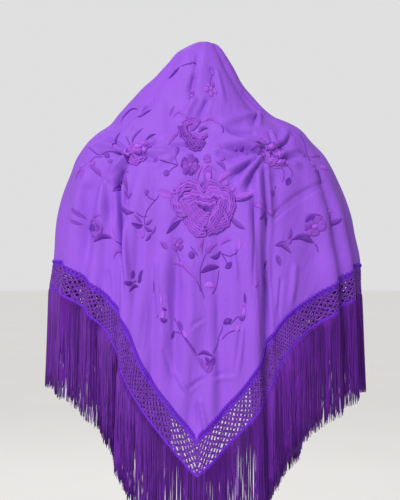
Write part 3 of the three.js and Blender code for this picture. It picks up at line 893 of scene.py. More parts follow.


# The embroidery, on the flat cloth in millimetres. Each row is a band of satin
# stitch: its shape, its width, its tone from 0, dark, to 1, light, and the line that
# its middle follows. The tone is painted sheen and painted shade: the light that the
# satin of each band catches. A "chain" is a line of small chain stitches.
STITCHES = [
    ("leaf", 14, 0.6, (-54, 391), (-74, 385), (-94, 378)),
    ("leaf", 12, 0.75, (60, 390), (81, 384), (104, 375)),
    ("leaf", 5, 0.0, (62, 396), (83, 392), (105, 379)),
    ("leaf", 10, 0.0, (-39, 429), (-57, 443), (-70, 457)),
    ("leaf", 5, 0.5, (-43, 423), (-55, 429), (-64, 441)),
    ("leaf", 10, 0.3, (54, 422), (69, 434), (88, 443)),
    ("leaf", 9, 0.65, (-13, 365), (-11, 349), (-1, 335)),
    ("petal", 18, 0.45, (9, 374), (9, 342)),
    ("leaf", 7, 0.65, (-4, 347), (10, 335), (26, 345)),
    ("leaf", 11, 0.8, (26, 369), (38, 355), (56, 346)),
    ("petal", 10, 0.8, (37, 372), (50, 362)),
    ("petal", 9, 0.8, (52, 380), (64, 371)),
    ("leaf", 8, 0.3, (-57, 319), (-54, 308), (-58, 295)),
    ("round", 12, 0.3, (-102, 322), (-91, 322)),
    ("round", 12, 0.32, (-80, 349), (-68, 347)),
    ("chain", 2.0, 0.2, (-90, 323), (-70, 329), (-51, 335)),
    ("chain", 2.0, 0.2, (-69, 346), (-60, 339), (-51, 335)),
    ("chain", 2.0, 0.2, (-51, 335), (-56, 325), (-57, 318)),
    ("petal", 10, 0.45, (-3, 326), (12, 319)),
    ("petal", 7, 0.6, (0, 331), (14, 326)),
    ("leaf", 8, 0.25, (24, 330), (36, 333), (44, 344)),
    ("petal", 7, 0.5, (30, 326), (40, 322)),
    ("leaf", 10, 0.35, (-82, 470), (-75, 474), (-65, 483)),
    ("leaf", 11, 0.35, (3, 489), (-1, 474), (6, 460)),
    ("leaf", 11, 0.5, (9, 489), (20, 474), (33, 470)),
    ("round", 12, 0.4, (8, 480), (20, 482)),
    ("leaf", 9, 0.5, (36, 472), (47, 463), (60, 462)),
    ("leaf", 9, 0.1, (18, 493), (30, 492), (38, 481)),
    ("chain", 2.2, 0.2, (10, 487), (3, 505), (0, 518), (2, 543), (10, 564)),
    ("chain", 2.0, 0.2, (-5, 492), (-14, 482), (-20, 476)),
    ("round", 13, 0.15, (-23, 491), (-11, 491)),
    ("leaf", 11, 0.0, (0, 521), (18, 511), (38, 509)),
    ("leaf", 11, 0.0, (47, 511), (54, 507), (61, 500)),
    ("chain", 2.0, 0.15, (38, 484), (46, 494), (51, 503)),
    ("chain", 2.0, 0.2, (40, 486), (58, 490), (74, 478)),
    ("leaf", 6, 0.95, (74, 480), (76, 468), (74, 456)),
    ("leaf", 11, 0.95, (8, 542), (18, 540), (29, 542)),
    ("leaf", 8, 0.5, (-56, 506), (-34, 507), (-6, 533)),
    ("chain", 2.0, 0.2, (-6, 533), (-1, 543), (2, 552)),
    ("chain", 2.0, 0.17, (-46, 486), (-40, 498), (-34, 507)),
    ("chain", 2.0, 0.15, (36, 514), (32, 540), (24, 556)),
    ("leaf", 9, 0.1, (-123, 439), (-138, 440), (-151, 434)),
    ("leaf", 7, 0.3, (-123, 438), (-112, 436), (-103, 429)),
    ("leaf", 7, 0.2, (-122, 440), (-113, 448), (-102, 450)),
    ("petal", 10, 0.6, (-124, 443), (-127, 460)),
    ("leaf", 6, 0.4, (-126, 436), (-137, 427), (-143, 420)),
    ("chain", 2.0, 0.17, (-122, 437), (-117, 418), (-106, 404), (-94, 393), (-88, 386)),
    ("chain", 2.0, 0.17, (-98, 396), (-108, 392), (-120, 382)),
    ("petal", 8, 0.5, (-118, 388), (-114, 377)),
    ("leaf", 6, 0.4, (-108, 457), (-100, 451), (-94, 441)),
    ("leaf", 7, 0.15, (-120, 467), (-112, 462), (-105, 454)),
    ("ring", 5, 0.4, (-253, 436), (-244, 424), (-230, 421), (-221, 432), (-229, 444), (-244, 447),
     (-252, 438)),
    ("round", 12, 0.0, (-240, 435), (-230, 435)),
    ("leaf", 8, 0.0, (-249, 443), (-247, 433), (-238, 426)),
    ("leaf", 6, 0.15, (-232, 443), (-226, 436), (-229, 427)),
    ("leaf", 6, 0.3, (-255, 428), (-263, 424), (-272, 416)),
    ("leaf", 6, 0.4, (-236, 424), (-226, 417), (-214, 415)),
    ("leaf", 6, 0.35, (-248, 420), (-258, 408), (-266, 396)),
    ("leaf", 9, 0.1, (-242, 458), (-226, 448), (-207, 452)),
    ("leaf", 8, 0.75, (-204, 434), (-206, 446), (-202, 458)),
    ("chain", 2.0, 0.15, (-202, 458), (-195, 462), (-188, 474)),
    ("leaf", 8, 0.5, (-218, 487), (-206, 474), (-184, 477)),
    ("petal", 12, 0.7, (-240, 316), (-254, 310)),
    ("petal", 11, 0.6, (-236, 316), (-220, 316)),
    ("leaf", 9, 0.25, (-231, 322), (-219, 330), (-208, 345)),
    ("leaf", 8, 0.6, (-242, 322), (-244, 335), (-243, 348)),
    ("leaf", 7, 0.35, (-246, 321), (-256, 330), (-262, 342)),
    ("chain", 2.0, 0.2, (-232, 312), (-220, 302), (-206, 305)),
    ("petal", 11, 0.3, (-204, 303), (-191, 302)),
    ("petal", 8, 0.4, (-196, 311), (-184, 318)),
    ("leaf", 10, 0.1, (-169, 346), (-175, 360), (-190, 375)),
    ("chain", 2.0, 0.15, (-150, 340), (-162, 342), (-169, 347)),
    ("leaf", 9, 0.1, (-176, 398), (-163, 413), (-141, 417)),
    ("chain", 2.0, 0.17, (-138, 417), (-126, 424), (-114, 424)),
    ("chain", 2.0, 0.2, (-160, 262), (-153, 278), (-147, 292)),
    ("leaf", 11, 0.02, (-166, 528), (-162, 520), (-158, 514)),
    ("leaf", 10, 0.02, (-148, 530), (-139, 524), (-129, 516)),
    ("leaf", 10, 0.02, (-150, 535), (-142, 533), (-134, 527)),
    ("leaf", 8, 0.05, (-185, 531), (-174, 535), (-164, 534)),
    ("leaf", 7, 0.15, (-177, 549), (-162, 541), (-145, 544)),
    ("chain", 2.0, 0.1, (-164, 535), (-158, 533), (-151, 533)),
    ("leaf", 5, 0.8, (-186, 505), (-182, 502), (-178, 505)),
    ("leaf", 6, 0.1, (-97, 537), (-94, 547), (-96, 560)),
    ("petal", 11, 0.15, (148, 360), (138, 371)),
    ("chain", 2.0, 0.12, (150, 352), (148, 358)),
    ("leaf", 11, 0.08, (174, 331), (172, 339), (169, 348)),
    ("chain", 2.0, 0.23, (150, 309), (166, 311), (176, 320), (177, 331)),
    ("chain", 2.0, 0.23, (148, 314), (160, 322), (162, 336), (160, 344)),
    ("leaf", 10, 0.5, (133, 398), (124, 390), (118, 381)),
    ("leaf", 10, 0.65, (130, 399), (117, 396), (105, 396)),
    ("leaf", 8, 0.15, (133, 403), (127, 412), (120, 420)),
    ("leaf", 7, 0.15, (136, 405), (139, 416), (138, 428)),
    ("leaf", 8, 0.5, (138, 400), (146, 402), (152, 408)),
    ("petal", 12, 0.7, (230, 288), (216, 282)),
    ("petal", 12, 0.7, (236, 286), (252, 277)),
    ("petal", 9, 0.5, (229, 291), (221, 302)),
    ("leaf", 7, 0.1, (234, 292), (236, 304), (243, 318)),
    ("chain", 2.0, 0.2, (214, 283), (208, 270), (200, 240), (192, 226)),
    ("petal", 10, 0.3, (203, 281), (196, 273)),
    ("petal", 8, 0.5, (214, 270), (226, 262)),
    ("leaf", 8, 0.4, (226, 262), (236, 254), (242, 246)),
    ("round", 9, 0.75, (257, 374), (264, 375)),
    ("leaf", 10, 0.3, (264, 402), (272, 394), (281, 384)),
    ("chain", 2.0, 0.2, (262, 380), (264, 392), (258, 408)),
    ("leaf", 12, 0.0, (219, 404), (225, 394), (239, 389)),
    ("leaf", 11, 0.02, (204, 437), (220, 428), (246, 436)),
    ("chain", 2.0, 0.2, (246, 436), (252, 442), (256, 450)),
    ("leaf", 8, 0.08, (170, 454), (188, 449), (213, 457)),
    ("petal", 9, 0.4, (196, 442), (204, 438)),
    ("leaf", 8, 0.3, (196, 440), (199, 429), (196, 417)),
    ("chain", 2.0, 0.17, (172, 452), (184, 444), (196, 441)),
    ("leaf", 11, 0.35, (178, 469), (186, 474), (194, 484)),
    ("leaf", 7, 0.05, (156, 482), (153, 492), (150, 503)),
    ("petal", 10, 0.1, (150, 508), (144, 522)),
    ("petal", 8, 0.2, (150, 512), (156, 520)),
    ("petal", 8, 0.35, (148, 505), (154, 500)),
    ("petal", 9, 0.6, (122, 524), (116, 536)),
    ("leaf", 8, 0.95, (-80, 558), (-77, 568), (-78, 580)),
    ("leaf", 6, 0.1, (-75, 582), (-70, 585), (-64, 586)),
    ("petal", 9, 0.9, (-72, 586), (-75, 600)),
    ("leaf", 8, 0.2, (-80, 600), (-73, 604), (-64, 602)),
    ("chain", 2.0, 0.2, (-84, 594), (-88, 600)),
    ("leaf", 7, 0.05, (88, 550), (91, 560), (92, 572)),
    ("leaf", 7, 0.6, (84, 571), (90, 570), (96, 574)),
    ("petal", 10, 0.95, (93, 574), (91, 588)),
    ("leaf", 8, 0.25, (78, 590), (88, 594), (98, 588)),
    ("chain", 2.0, 0.17, (78, 590), (66, 602), (62, 606)),
    ("leaf", 11, 0.0, (50, 605), (58, 600), (67, 596)),
    ("chain", 2.0, 0.15, (50, 606), (46, 618), (38, 634)),
    ("leaf", 9, 0.9, (74, 614), (79, 611), (84, 606)),
    ("chain", 2.0, 0.15, (74, 614), (60, 620), (48, 632)),
    ("leaf", 7, 0.2, (-42, 602), (-36, 609), (-30, 618)),
    ("leaf", 8, 0.85, (-30, 617), (-27, 624), (-20, 631)),
    ("leaf", 7, 0.1, (-49, 620), (-53, 626), (-56, 635)),
    ("chain", 2.0, 0.12, (-52, 597), (-34, 620), (-16, 640), (-3, 656)),
    ("chain", 2.0, 0.15, (-50, 622), (-34, 624), (-18, 642), (-2, 660)),
    ("chain", 2.0, 0.17, (44, 630), (34, 646), (30, 656)),
    ("leaf", 7, 0.1, (-2, 659), (12, 653), (32, 660)),
    ("leaf", 10, 0.15, (33, 660), (27, 670), (15, 674)),
    ("leaf", 7, 0.1, (16, 660), (20, 666), (26, 668)),
    ("leaf", 5, 0.5, (0, 661), (7, 673), (18, 686)),
    ("leaf", 9, 0.25, (27, 670), (24, 680), (17, 688)),
    ("leaf", 6, 0.45, (4, 662), (12, 670), (17, 684)),
    ("leaf", 10, 0.0, (-78, 154), (-66, 144), (-54, 136)),
    ("chain", 2.0, 0.15, (-50, 138), (-36, 140), (-20, 144)),
    ("ring", 4, 0.6, (14, 150), (22, 154), (21, 163), (12, 164), (9, 156), (13, 151)),
    ("chain", 2.0, 0.25, (17, 166), (14, 174), (12, 180)),
    ("leaf", 6, 0.45, (-58, 217), (-64, 226), (-68, 238)),
    ("leaf", 6, 0.65, (-64, 243), (-51, 231), (-36, 243)),
    ("chain", 2.0, 0.2, (-36, 243), (-30, 250), (-30, 258)),
    ("leaf", 9, 0.6, (-10, 257), (12, 246), (34, 260)),
    ("chain", 2.0, 0.2, (34, 260), (38, 268), (38, 276)),
    ("petal", 9, 0.6, (68, 304), (60, 298)),
    ("petal", 8, 0.5, (76, 305), (86, 308)),
    ("petal", 7, 0.3, (72, 302), (76, 293)),
    ("leaf", 10, 0.55, (-72, 296), (-64, 284), (-50, 272)),
    ("leaf", 7, 0.35, (92, 298), (104, 290), (116, 291)),
    ("leaf", 5, 0.15, (-180, 291), (-178, 270), (-172, 247)),
    ("leaf", 6, 0.0, (-176, 220), (-165, 203), (-152, 194), (-133, 206)),
    ("leaf", 6, 0.0, (-137, 226), (-118, 221), (-103, 218)),
    ("leaf", 6, 0.3, (-147, 284), (-143, 265), (-121, 253)),
    ("leaf", 6, 0.0, (-121, 282), (-110, 274), (-95, 272)),
    ("leaf", 9, 0.35, (-158, 326), (-161, 345), (-157, 378)),
    ("leaf", 8, 0.4, (-164, 376), (-153, 386), (-142, 381)),
    ("chain", 2.4, 0.05, (-245, 263), (-228, 284), (-216, 294), (-189, 295), (-164, 303)),
    ("leaf", 7, 0.65, (105, 277), (115, 268), (134, 289)),
    ("leaf", 4, 0.75, (127, 246), (139, 255), (143, 271)),
    ("chain", 2.0, 0.35, (170, 229), (178, 245), (182, 272), (198, 276)),
    ("leaf", 9, 0.7, (127, 311), (142, 318), (166, 308)),
]

# Blossoms with petals round a middle, on the flat cloth in millimetres.
# The tone is painted sheen and painted shade, as in the stitches.
BLOSSOM_COLUMNS = ("u", "v", "radius", "petals", "turn", "petal width", "tone", "heart", "raised")
BLOSSOMS = [
    (-27, 335, 20, 10, 10, 11, 0.2, 12, 0),
    (-27, 335, 14, 8, 30, 9, 0.35, 8, 0.9),
    (-45, 474, 13, 4, 38, 12, 0.4, 8, 0),
    (14, 190, 14, 5, 18, 10, 0.65, 8, 0),
    (-27, 202, 8, 4, 40, 7, 0.6, 5, 0),
    (236, 409, 16, 7, 15, 12, 0.4, 9, 0),
]

# The roses, in millimetres from each one's middle. Each row is a group of ruffled
# petal edges: how many lie side by side and how far apart, their width and tone, how
# high and how long their waves are, and the line of the outermost. These tones, and
# those of the leaves and petals with each rose, are painted sheen and painted shade.
RUFFLE_COLUMNS = ("count", "apart", "width", "tone", "wave", "length", "line")
FULL_ROSE = [
    (4, 4.2, 7.2, 0.55, 1.0, 14, ((-62, -25), (-66, -11), (-57, 5), (-38, 22))),
    (4, 4.2, 7.2, 0.5, 1.0, 13, ((54, 10), (60, -3), (58, -20), (47, -33))),
    (5, 4.2, 7.2, 0.55, 0.9, 16, ((-36, 22), (-25, 37), (-9, 49), (8, 43))),
    (5, 4.2, 7.2, 0.5, 1.0, 14, ((8, 44), (30, 38), (47, 28), (57, 8))),
    (4, 4.6, 7.6, 0.65, 1.2, 18, ((-1, -26), (-15, -40), (-29, -46), (-44, -41), (-62, -28))),
    (4, 4.6, 7.6, 0.65, 1.2, 18, ((54, -29), (34, -38), (12, -45), (3, -38), (-5, -26))),
    (6, 4.4, 7.4, 0.5, 0.9, 14, ((-46, -9), (-32, 11), (-13, 25), (9, 32))),
    (4, 4.4, 7.4, 0.45, 0.9, 14, ((18, 33), (31, 18), (42, 1), (43, -17))),
    (2, 5.0, 8.0, 0.7, 1.1, 15, ((48, -19), (24, -26), (2, -21), (-14, -26), (-44, -20))),
    (2, 5.0, 8.0, 0.55, 1.0, 13, ((26, -12), (4, -10), (-12, -14), (-36, -8))),
]
FULL_ROSE_LEAVES = [
    ("leaf", 17, 0.05, (22, -20), (14, -4), (3, 17)),
    ("leaf", 8, 0.6, (32, -14), (21, 2), (12, 22)),
    ("leaf", 8, 0.0, (-14, -1), (-3, 1), (8, -6)),
    ("leaf", 8, 0.15, (-10, 43), (4, 38), (18, 33)),
    ("leaf", 7, 0.5, (-30, 4), (-16, 14), (-2, 22)),
    ("petal", 12, 0.8, (7, -46), (8, -60)),
    ("leaf", 9, 0.3, (-4, -46), (-1, -34), (2, -24)),
]
HALF_ROSE = [
    (4, 4.2, 6.6, 0.3, 0.7, 10, ((-20, 14), (-12, 27), (6, 30), (18, 16))),
    (2, 4.2, 6.4, 0.5, 0.7, 10, ((-8, 6), (8, 12), (22, 4))),
    (4, 4.2, 6.4, 0.28, 0.6, 9, ((-32, -14), (-28, 4), (-16, 18))),
    (3, 4.2, 6.4, 0.55, 0.6, 9, ((8, -18), (-8, -26), (-26, -18))),
]
HALF_ROSE_LEAVES = [
    ("petal", 11, 0.5, (-12, -2), (-2, -14)),
    ("leaf", 8, 0.15, (-2, 18), (8, 22), (16, 12)),
    ("leaf", 8, 0.3, (4, 0), (12, -8), (22, -8)),
]
GATHERED_ROSE = [
    (4, 3.8, 6.2, 0.6, 0.8, 11, ((16, 18), (26, 4), (20, -10))),
    (4, 3.8, 6.2, 0.65, 0.9, 12, ((-12, 10), (2, 20), (18, 16))),
    (3, 3.8, 6.2, 0.5, 0.9, 11, ((18, -8), (4, -14), (-12, -6))),
]
GATHERED_ROSE_LEAVES = [
    ("leaf", 9, 0.0, (-8, 0), (-16, -4), (-26, -2)),
    ("leaf", 7, 0.1, (-6, 6), (-14, 10), (-20, 18)),
    ("leaf", 6, 0.0, (-2, 4), (8, 0), (16, 4)),
    ("petal", 9, 0.75, (2, -4), (13, 2)),
]
HELD_ROSE = [
    (4, 4.2, 6.6, 0.7, 0.9, 13, ((30, -8), (18, -17), (2, -20), (-15, -12), (-23, 4))),
    (3, 4.2, 6.6, 0.45, 0.9, 12, ((-14, 14), (2, 23), (22, 12))),
]
HELD_ROSE_LEAVES = [
    ("leaf", 9, 0.0, (-18, 5), (0, 17), (19, 14)),
    ("leaf", 7, 0.0, (-18, -6), (-16, 20)),
    ("petal", 11, 0.6, (-8, -4), (12, 0)),
]
ROSES = [
    {"at": (3, 409), "turn": 0, "size": 1.0, "ruffles": FULL_ROSE, "leaves": FULL_ROSE_LEAVES},
    {"at": (-16, 275), "turn": 0, "size": 1.05, "ruffles": HALF_ROSE, "leaves": HALF_ROSE_LEAVES},
    {"at": (129, 293), "turn": 10, "size": 1.15, "ruffles": GATHERED_ROSE, "leaves": GATHERED_ROSE_LEAVES},
    {"at": (-137, 304), "turn": 0, "size": 1.0, "ruffles": HELD_ROSE, "leaves": HELD_ROSE_LEAVES},
]


def curve_through(points, step):
    """A smooth line through given points, at even steps."""
    points = np.asarray(points, float)
    chord = np.concatenate([[0], np.cumsum(np.hypot(*np.diff(points, axis=0).T))])
    at = np.linspace(0, chord[-1], max(8, math.ceil(chord[-1] / step) + 1))
    return np.stack([along(chord, points[:, axis], at) for axis in range(2)], -1)


class SHAWL_OT_embroidery(bpy.types.Operator):
    """Embroider the roses, sprays and blossoms in satin stitch"""

    bl_idname = "shawl.embroidery"
    bl_label = "Embroidery"

    STEP = 1.6
    RUFFLE_STEP = 6
    ARCH = 9
    ROOT = 0.8
    HEIGHTS = {"leaf": 2.1, "petal": 2.3, "round": 2.4, "ring": 2.2, "chain": 2.6, "ruffle": 3.4}
    # Painted light and shade: one half of each leaf is made lighter and the other darker, and one side of
    # each ruffle darker, as the light falls across them.
    PAINTED_SIDE_LIGHT = {"leaf": 0.1, "ruffle": -0.14}
    TONE_SPREAD = 0.06
    THIN_HEIGHT = 0.35
    FULL_WIDTH = 12
    END_SLOPE = 0.6
    LEAST_BREADTH = 0.04
    DOME = 0.7
    LEAF_POINT = 0.85
    VEIN_DEPTH = 0.5
    VEIN_WIDTH = 0.18
    PETAL_WIDEST = 0.62
    PETAL_STEM = 0.35
    PETAL_FULLNESS = 0.8
    BLUNTNESS = 6
    CHAIN_LINK = 2.6
    CHAIN_WAIST = 0.75
    RUFFLE_TILT = 0.5
    RUFFLE_CREST = 0.12
    # Painted shade: the ruffles of a group go from darker at the outermost to lighter at the innermost.
    RUFFLE_PAINTED_SHADE = 0.24
    RUFFLE_WIDTHS = (0.82, 1.15)
    RUFFLE_LAG = 0.25
    RUFFLE_OVERLAP = 0.04
    # The waves of a ruffle: how strong and how long each is as a share of the row's own
    # wave and length, and by how many times its phase it starts late.
    WAVES = ((1, 1, 1), (0.7, 1.63, 3), (0.35, 0.41, 5))
    PETAL_ROOT = 0.15
    PETAL_UNEVEN = 0.1
    PETAL_TONE_SPREAD = 0.08
    HEART_LIGHTER = 0.2
    HEART_RAISED = 0.4

    def execute(self, context):
        drape = Drape(context.scene.shawl_sizes)
        colours = context.scene.shawl_colours
        self.draws = np.random.RandomState(11)
        pieces = Pieces()
        for shape, width, tone, *line in STITCHES:
            self.add_band(pieces, shape, width, tone, line)
        for row in BLOSSOMS:
            self.add_blossom(pieces, dict(zip(BLOSSOM_COLUMNS, row)))
        for rose in ROSES:
            self.add_rose(pieces, rose)
        flat = np.concatenate(pieces.points)
        points, _ = drape.hang(flat[:, 0] * MM, flat[:, 1] * MM, flat[:, 2] * MM)
        pieces.points = [points]
        look = stitch_look(colours.stitch_painted_shade, colours.stitch_painted_sheen)
        finish_piece(pieces.make("embroidery", look))
        return {"FINISHED"}

    def breadth(self, shape, t):
        """How wide a band is along its length, as a share of its width."""
        if shape == "leaf":
            return np.sin(math.pi * t) ** self.LEAF_POINT
        if shape == "petal":
            off = np.abs(t - self.PETAL_WIDEST) / self.PETAL_WIDEST
            crown = np.clip(1 - off ** 3, 0, 1) ** self.PETAL_FULLNESS
            return crown * (self.PETAL_STEM + (1 - self.PETAL_STEM) * smooth(0, 0.5, t))
        if shape == "round":
            return np.sqrt(np.clip(1 - (2 * t - 1) ** 2, 0, 1))
        return np.sqrt(np.clip(np.sin(math.pi * t) * self.BLUNTNESS, 0, 1))

    def dome(self, shape, turn):
        """How high a band is across its width, as a share of its height."""
        across = np.cos(turn)
        dome = np.sin(turn) ** self.DOME
        if shape == "leaf":
            return dome * (1 - self.VEIN_DEPTH * np.exp(-(across / self.VEIN_WIDTH) ** 2))
        if shape == "ruffle":
            return dome * (1 - self.RUFFLE_TILT * across)
        return dome

    def add_band(self, pieces, shape, width, tone, line, wave=0.0, length=10.0, phase=0.0, raised=0.0):
        """One closed band of stitches with a domed top, on the flat cloth in millimetres."""
        middle = curve_through(line, self.STEP)
        t = np.linspace(0, 1, len(middle))
        run = t * np.hypot(*np.diff(middle, axis=0).T).sum()
        if shape == "round":
            t = (1 - np.cos(math.pi * t)) / 2
            middle = middle[:1] + (middle[-1:] - middle[:1]) * t[:, None]
        forward = unit(np.gradient(middle, axis=0))
        beside = np.stack([forward[:, 1], -forward[:, 0]], -1)
        share = np.maximum(self.breadth(shape, t), self.LEAST_BREADTH)
        half = width / 2 * share
        if shape == "chain":
            links = np.abs(np.sin(math.pi * run / self.CHAIN_LINK))
            half = half * (self.CHAIN_WAIST + (1 - self.CHAIN_WAIST) * links)
        turn = math.pi * np.arange(self.ARCH) / (self.ARCH - 1)
        across = np.cos(turn)
        dome = self.dome(shape, turn)
        swing = np.zeros_like(run)
        for strength, stretch, start in self.WAVES:
            swing += wave * strength * np.sin(TAU * run / (length * stretch) + start * phase)
        centre = middle + beside * swing[:, None]
        places = centre[:, None] + beside[:, None] * (half[:, None] * across)[..., None]
        height = self.HEIGHTS[shape] * min(1, self.THIN_HEIGHT + width / self.FULL_WIDTH)
        ends = share ** self.END_SLOPE * (1 + self.RUFFLE_CREST * swing)
        rise = np.maximum(height * dome * ends[:, None], 0) + self.ROOT + raised * (dome > 0)
        flat = np.concatenate([places, rise[..., None]], -1)
        wall = grid_faces(len(middle), self.ARCH, closed=True)[:, ::-1]
        first = np.arange(self.ARCH)[None]
        last = ((len(middle) - 1) * self.ARCH + np.arange(self.ARCH)[::-1])[None]
        uv = np.stack(np.broadcast_arrays(run[:, None] * MM, half[:, None] * across * MM), -1)
        # Painted light and shade: a tone shift of opposite sign on the two halves of the band.
        shade = self.PAINTED_SIDE_LIGHT.get(shape, 0) * np.sign(np.round(across, 3))
        own = np.clip(tone + self.TONE_SPREAD * self.draws.normal() + shade, 0, 1)
        pieces.add(flat, [wall, first, last], uv, np.broadcast_to(own, rise.shape).ravel())

    def add_blossom(self, pieces, blossom):
        """Petals round a small raised heart."""
        at = np.array([blossom["u"], blossom["v"]])
        for number in range(blossom["petals"]):
            turn = math.radians(blossom["turn"]) + TAU * number / blossom["petals"]
            turn += self.PETAL_UNEVEN * self.draws.normal()
            way = np.array([math.cos(turn), math.sin(turn)])
            reach = blossom["radius"] * (1 + self.PETAL_UNEVEN * self.draws.normal())
            tone = blossom["tone"] + self.PETAL_TONE_SPREAD * self.draws.normal()
            self.add_band(pieces, "petal", blossom["petal width"], tone,
                          (at + way * self.PETAL_ROOT * reach, at + way * reach), raised=blossom["raised"])
        edge = np.array([blossom["heart"] / 2, 0])
        self.add_band(pieces, "round", blossom["heart"], blossom["tone"] + self.HEART_LIGHTER,
                      (at - edge, at + edge), raised=blossom["raised"] + self.HEART_RAISED)

    def add_rose(self, pieces, rose):
        """Ruffled petal edges in groups side by side, with shaded petals between them."""
        turn = math.radians(rose["turn"])
        spin = np.array([[math.cos(turn), math.sin(turn)], [-math.sin(turn), math.cos(turn)]])
        lifted = 0.0
        for row in rose["ruffles"]:
            group = dict(zip(RUFFLE_COLUMNS, row))
            line = curve_through(np.array(group["line"]) * rose["size"], self.RUFFLE_STEP)
            forward = unit(np.gradient(line, axis=0))
            beside = np.stack([forward[:, 1], -forward[:, 0]], -1)
            phase = self.draws.uniform(0, TAU)
            for number in range(group["count"]):
                shifted = line + beside * group["apart"] * number
                # Painted shade, graded across the group.
                tone = group["tone"] + self.RUFFLE_PAINTED_SHADE * (number / (group["count"] - 1) - 0.5)
                width = group["width"] * self.draws.uniform(*self.RUFFLE_WIDTHS)
                self.add_band(pieces, "ruffle", width, tone, shifted @ spin + rose["at"],
                              group["wave"], group["length"], phase + self.RUFFLE_LAG * number, lifted)
                lifted += self.RUFFLE_OVERLAP
        for shape, width, tone, *line in rose["leaves"]:
            places = np.array(line) * rose["size"] @ spin + rose["at"]
            self.add_band(pieces, shape, width, tone, places, raised=lifted)


class SHAWL_OT_fringes(bpy.types.Operator):
    """Plait the hem cords and hang the fringe from them"""

    bl_idname = "shawl.fringes"
    bl_label = "Hem cords and fringe"

    PLAIT = {"width": 0.0076, "height": 0.0009, "pitch": 0.0072, "thread": 0.0017, "step": 0.0015}
    HANG_FROM = 0.75
    THREAD_ROOT = 0.00066
    THREAD_TIP = 0.0005
    LAYERS = 3
    LAYER = 0.0012
    ROOT_RUN = 0.003
    LOCK = 9
    CLOSING = (0.02, 0.3)
    CLOSING_FROM = (0.05, 0.6)
    SHORTER = 0.004
    UNEVEN = 0.006
    UNEVEN_LIMITS = (-1.8, 1.2)
    BEND_OUT = 0.007
    BEND_DROP = 0.011
    SWAY = 0.0016
    SWAYS = (0.5, 1.4)
    LEAN = 0.035
    LOCK_LEANS = 0.3
    THREAD_LEANS = 0.35
    SIDE_LEAN = 0.5
    OUT_LEAN = 0.03
    BEND_STEPS = (0, 0.02, 0.05)
    FALL_FROM = 0.1
    FALL_STEPS = 7
    TONE = 0.4
    LOCK_TONES = 0.2
    THREAD_TONES = 0.22

    def execute(self, context):
        sizes = context.scene.shawl_sizes
        drape = Drape(sizes)
        braid, fringe = context.scene.shawl_colours.braid, context.scene.shawl_colours.fringe
        cord_look = thread_look("hem_cord", tint(braid, 0.75), tint(braid, 1.35), 0.003)
        silk_look = thread_look("fringe_silk", tint(fringe, 0.55), tint(fringe, 2.2), 0.002, 0.38)
        start = 3 * sizes.seam_gap + sizes.braid_width + sizes.net_width
        hang_from = start + sizes.cord_width * self.HANG_FROM
        for number, side in enumerate(SIDES):
            cord = Pieces()
            add_plait(cord, drape, side, start + sizes.cord_width / 2, **self.PLAIT)
            finish_piece(cord.make(f"hem_cord_{side}", cord_look))
            threads = Pieces()
            draws = np.random.RandomState(40 + number)
            self.add_threads(threads, drape, side, hang_from, sizes, draws)
            finish_piece(threads.make(f"fringe_silk_{side}", silk_look), [f"fringe_{side}"])
        return {"FINISHED"}

    def add_threads(self, pieces, drape, side, start, sizes, draws):
        """Threads that turn down out of the hem cord and hang in loose locks."""
        count = sizes.fringe_strands
        number = np.arange(count)
        runs = drape.leg * (number + 0.5) / count
        layer = self.LAYER * (number % self.LAYERS - 1)
        roots, outs = edge_line(drape, side, np.full(count, start), layer, runs)
        inner, _ = edge_line(drape, side, np.full(count, start - self.ROOT_RUN), layer, runs)
        onward = unit(roots - inner)
        away = unit(outs * (1, 1, 0))
        sideways = np.cross(away, (0, 0, 1))
        lock = number // self.LOCK
        locks = lock.max() + 1
        middles = np.stack([np.bincount(lock, roots[:, k]) / np.bincount(lock) for k in range(3)], -1)
        lean = draws.normal(size=(locks, 2))[lock] * self.LEAN * self.LOCK_LEANS
        lean = lean + draws.normal(size=(count, 2)) * self.LEAN * self.THREAD_LEANS
        uneven = self.UNEVEN * np.clip(draws.normal(size=count), *self.UNEVEN_LIMITS)
        length = sizes.fringe_length - self.SHORTER + uneven
        closing = draws.uniform(*self.CLOSING, size=locks)[lock]
        t = np.concatenate([self.BEND_STEPS, np.linspace(self.FALL_FROM, 1, self.FALL_STEPS)])
        fall = length[:, None] * t
        turned = np.clip(fall / self.BEND_DROP, 0, 1)
        reach = self.BEND_OUT * (1 - (1 - turned) ** 2)
        points = roots[:, None] + onward[:, None] * reach[..., None]
        points[..., 2] = roots[:, None, 2] - fall
        drawn = (smooth(*self.CLOSING_FROM, t) * closing[:, None])[..., None]
        points += ((middles[lock] - roots) * (1, 1, 0))[:, None] * drawn
        sways, begin = draws.uniform(*self.SWAYS, (count, 1)), draws.uniform(0, 1, (count, 1))
        sway = self.SWAY * t * np.sin(TAU * (t * sways + begin))
        points += sideways[:, None] * (lean[:, :1] * fall * self.SIDE_LEAN + sway)[..., None]
        outward = self.OUT_LEAN + np.abs(lean[:, 1:]) * self.SIDE_LEAN
        points += away[:, None] * (outward * fall)[..., None]
        radius = self.THREAD_ROOT + (self.THREAD_TIP - self.THREAD_ROOT) * t
        side_on = np.broadcast_to(away[:, None], points.shape)
        tone = self.TONE + self.LOCK_TONES * draws.normal(size=locks)[lock]
        tone = np.clip(tone + self.THREAD_TONES * draws.normal(size=count), 0, 1)
        add_tubes(pieces, points, side_on, np.broadcast_to(radius, points.shape[:2]), 3, tone)


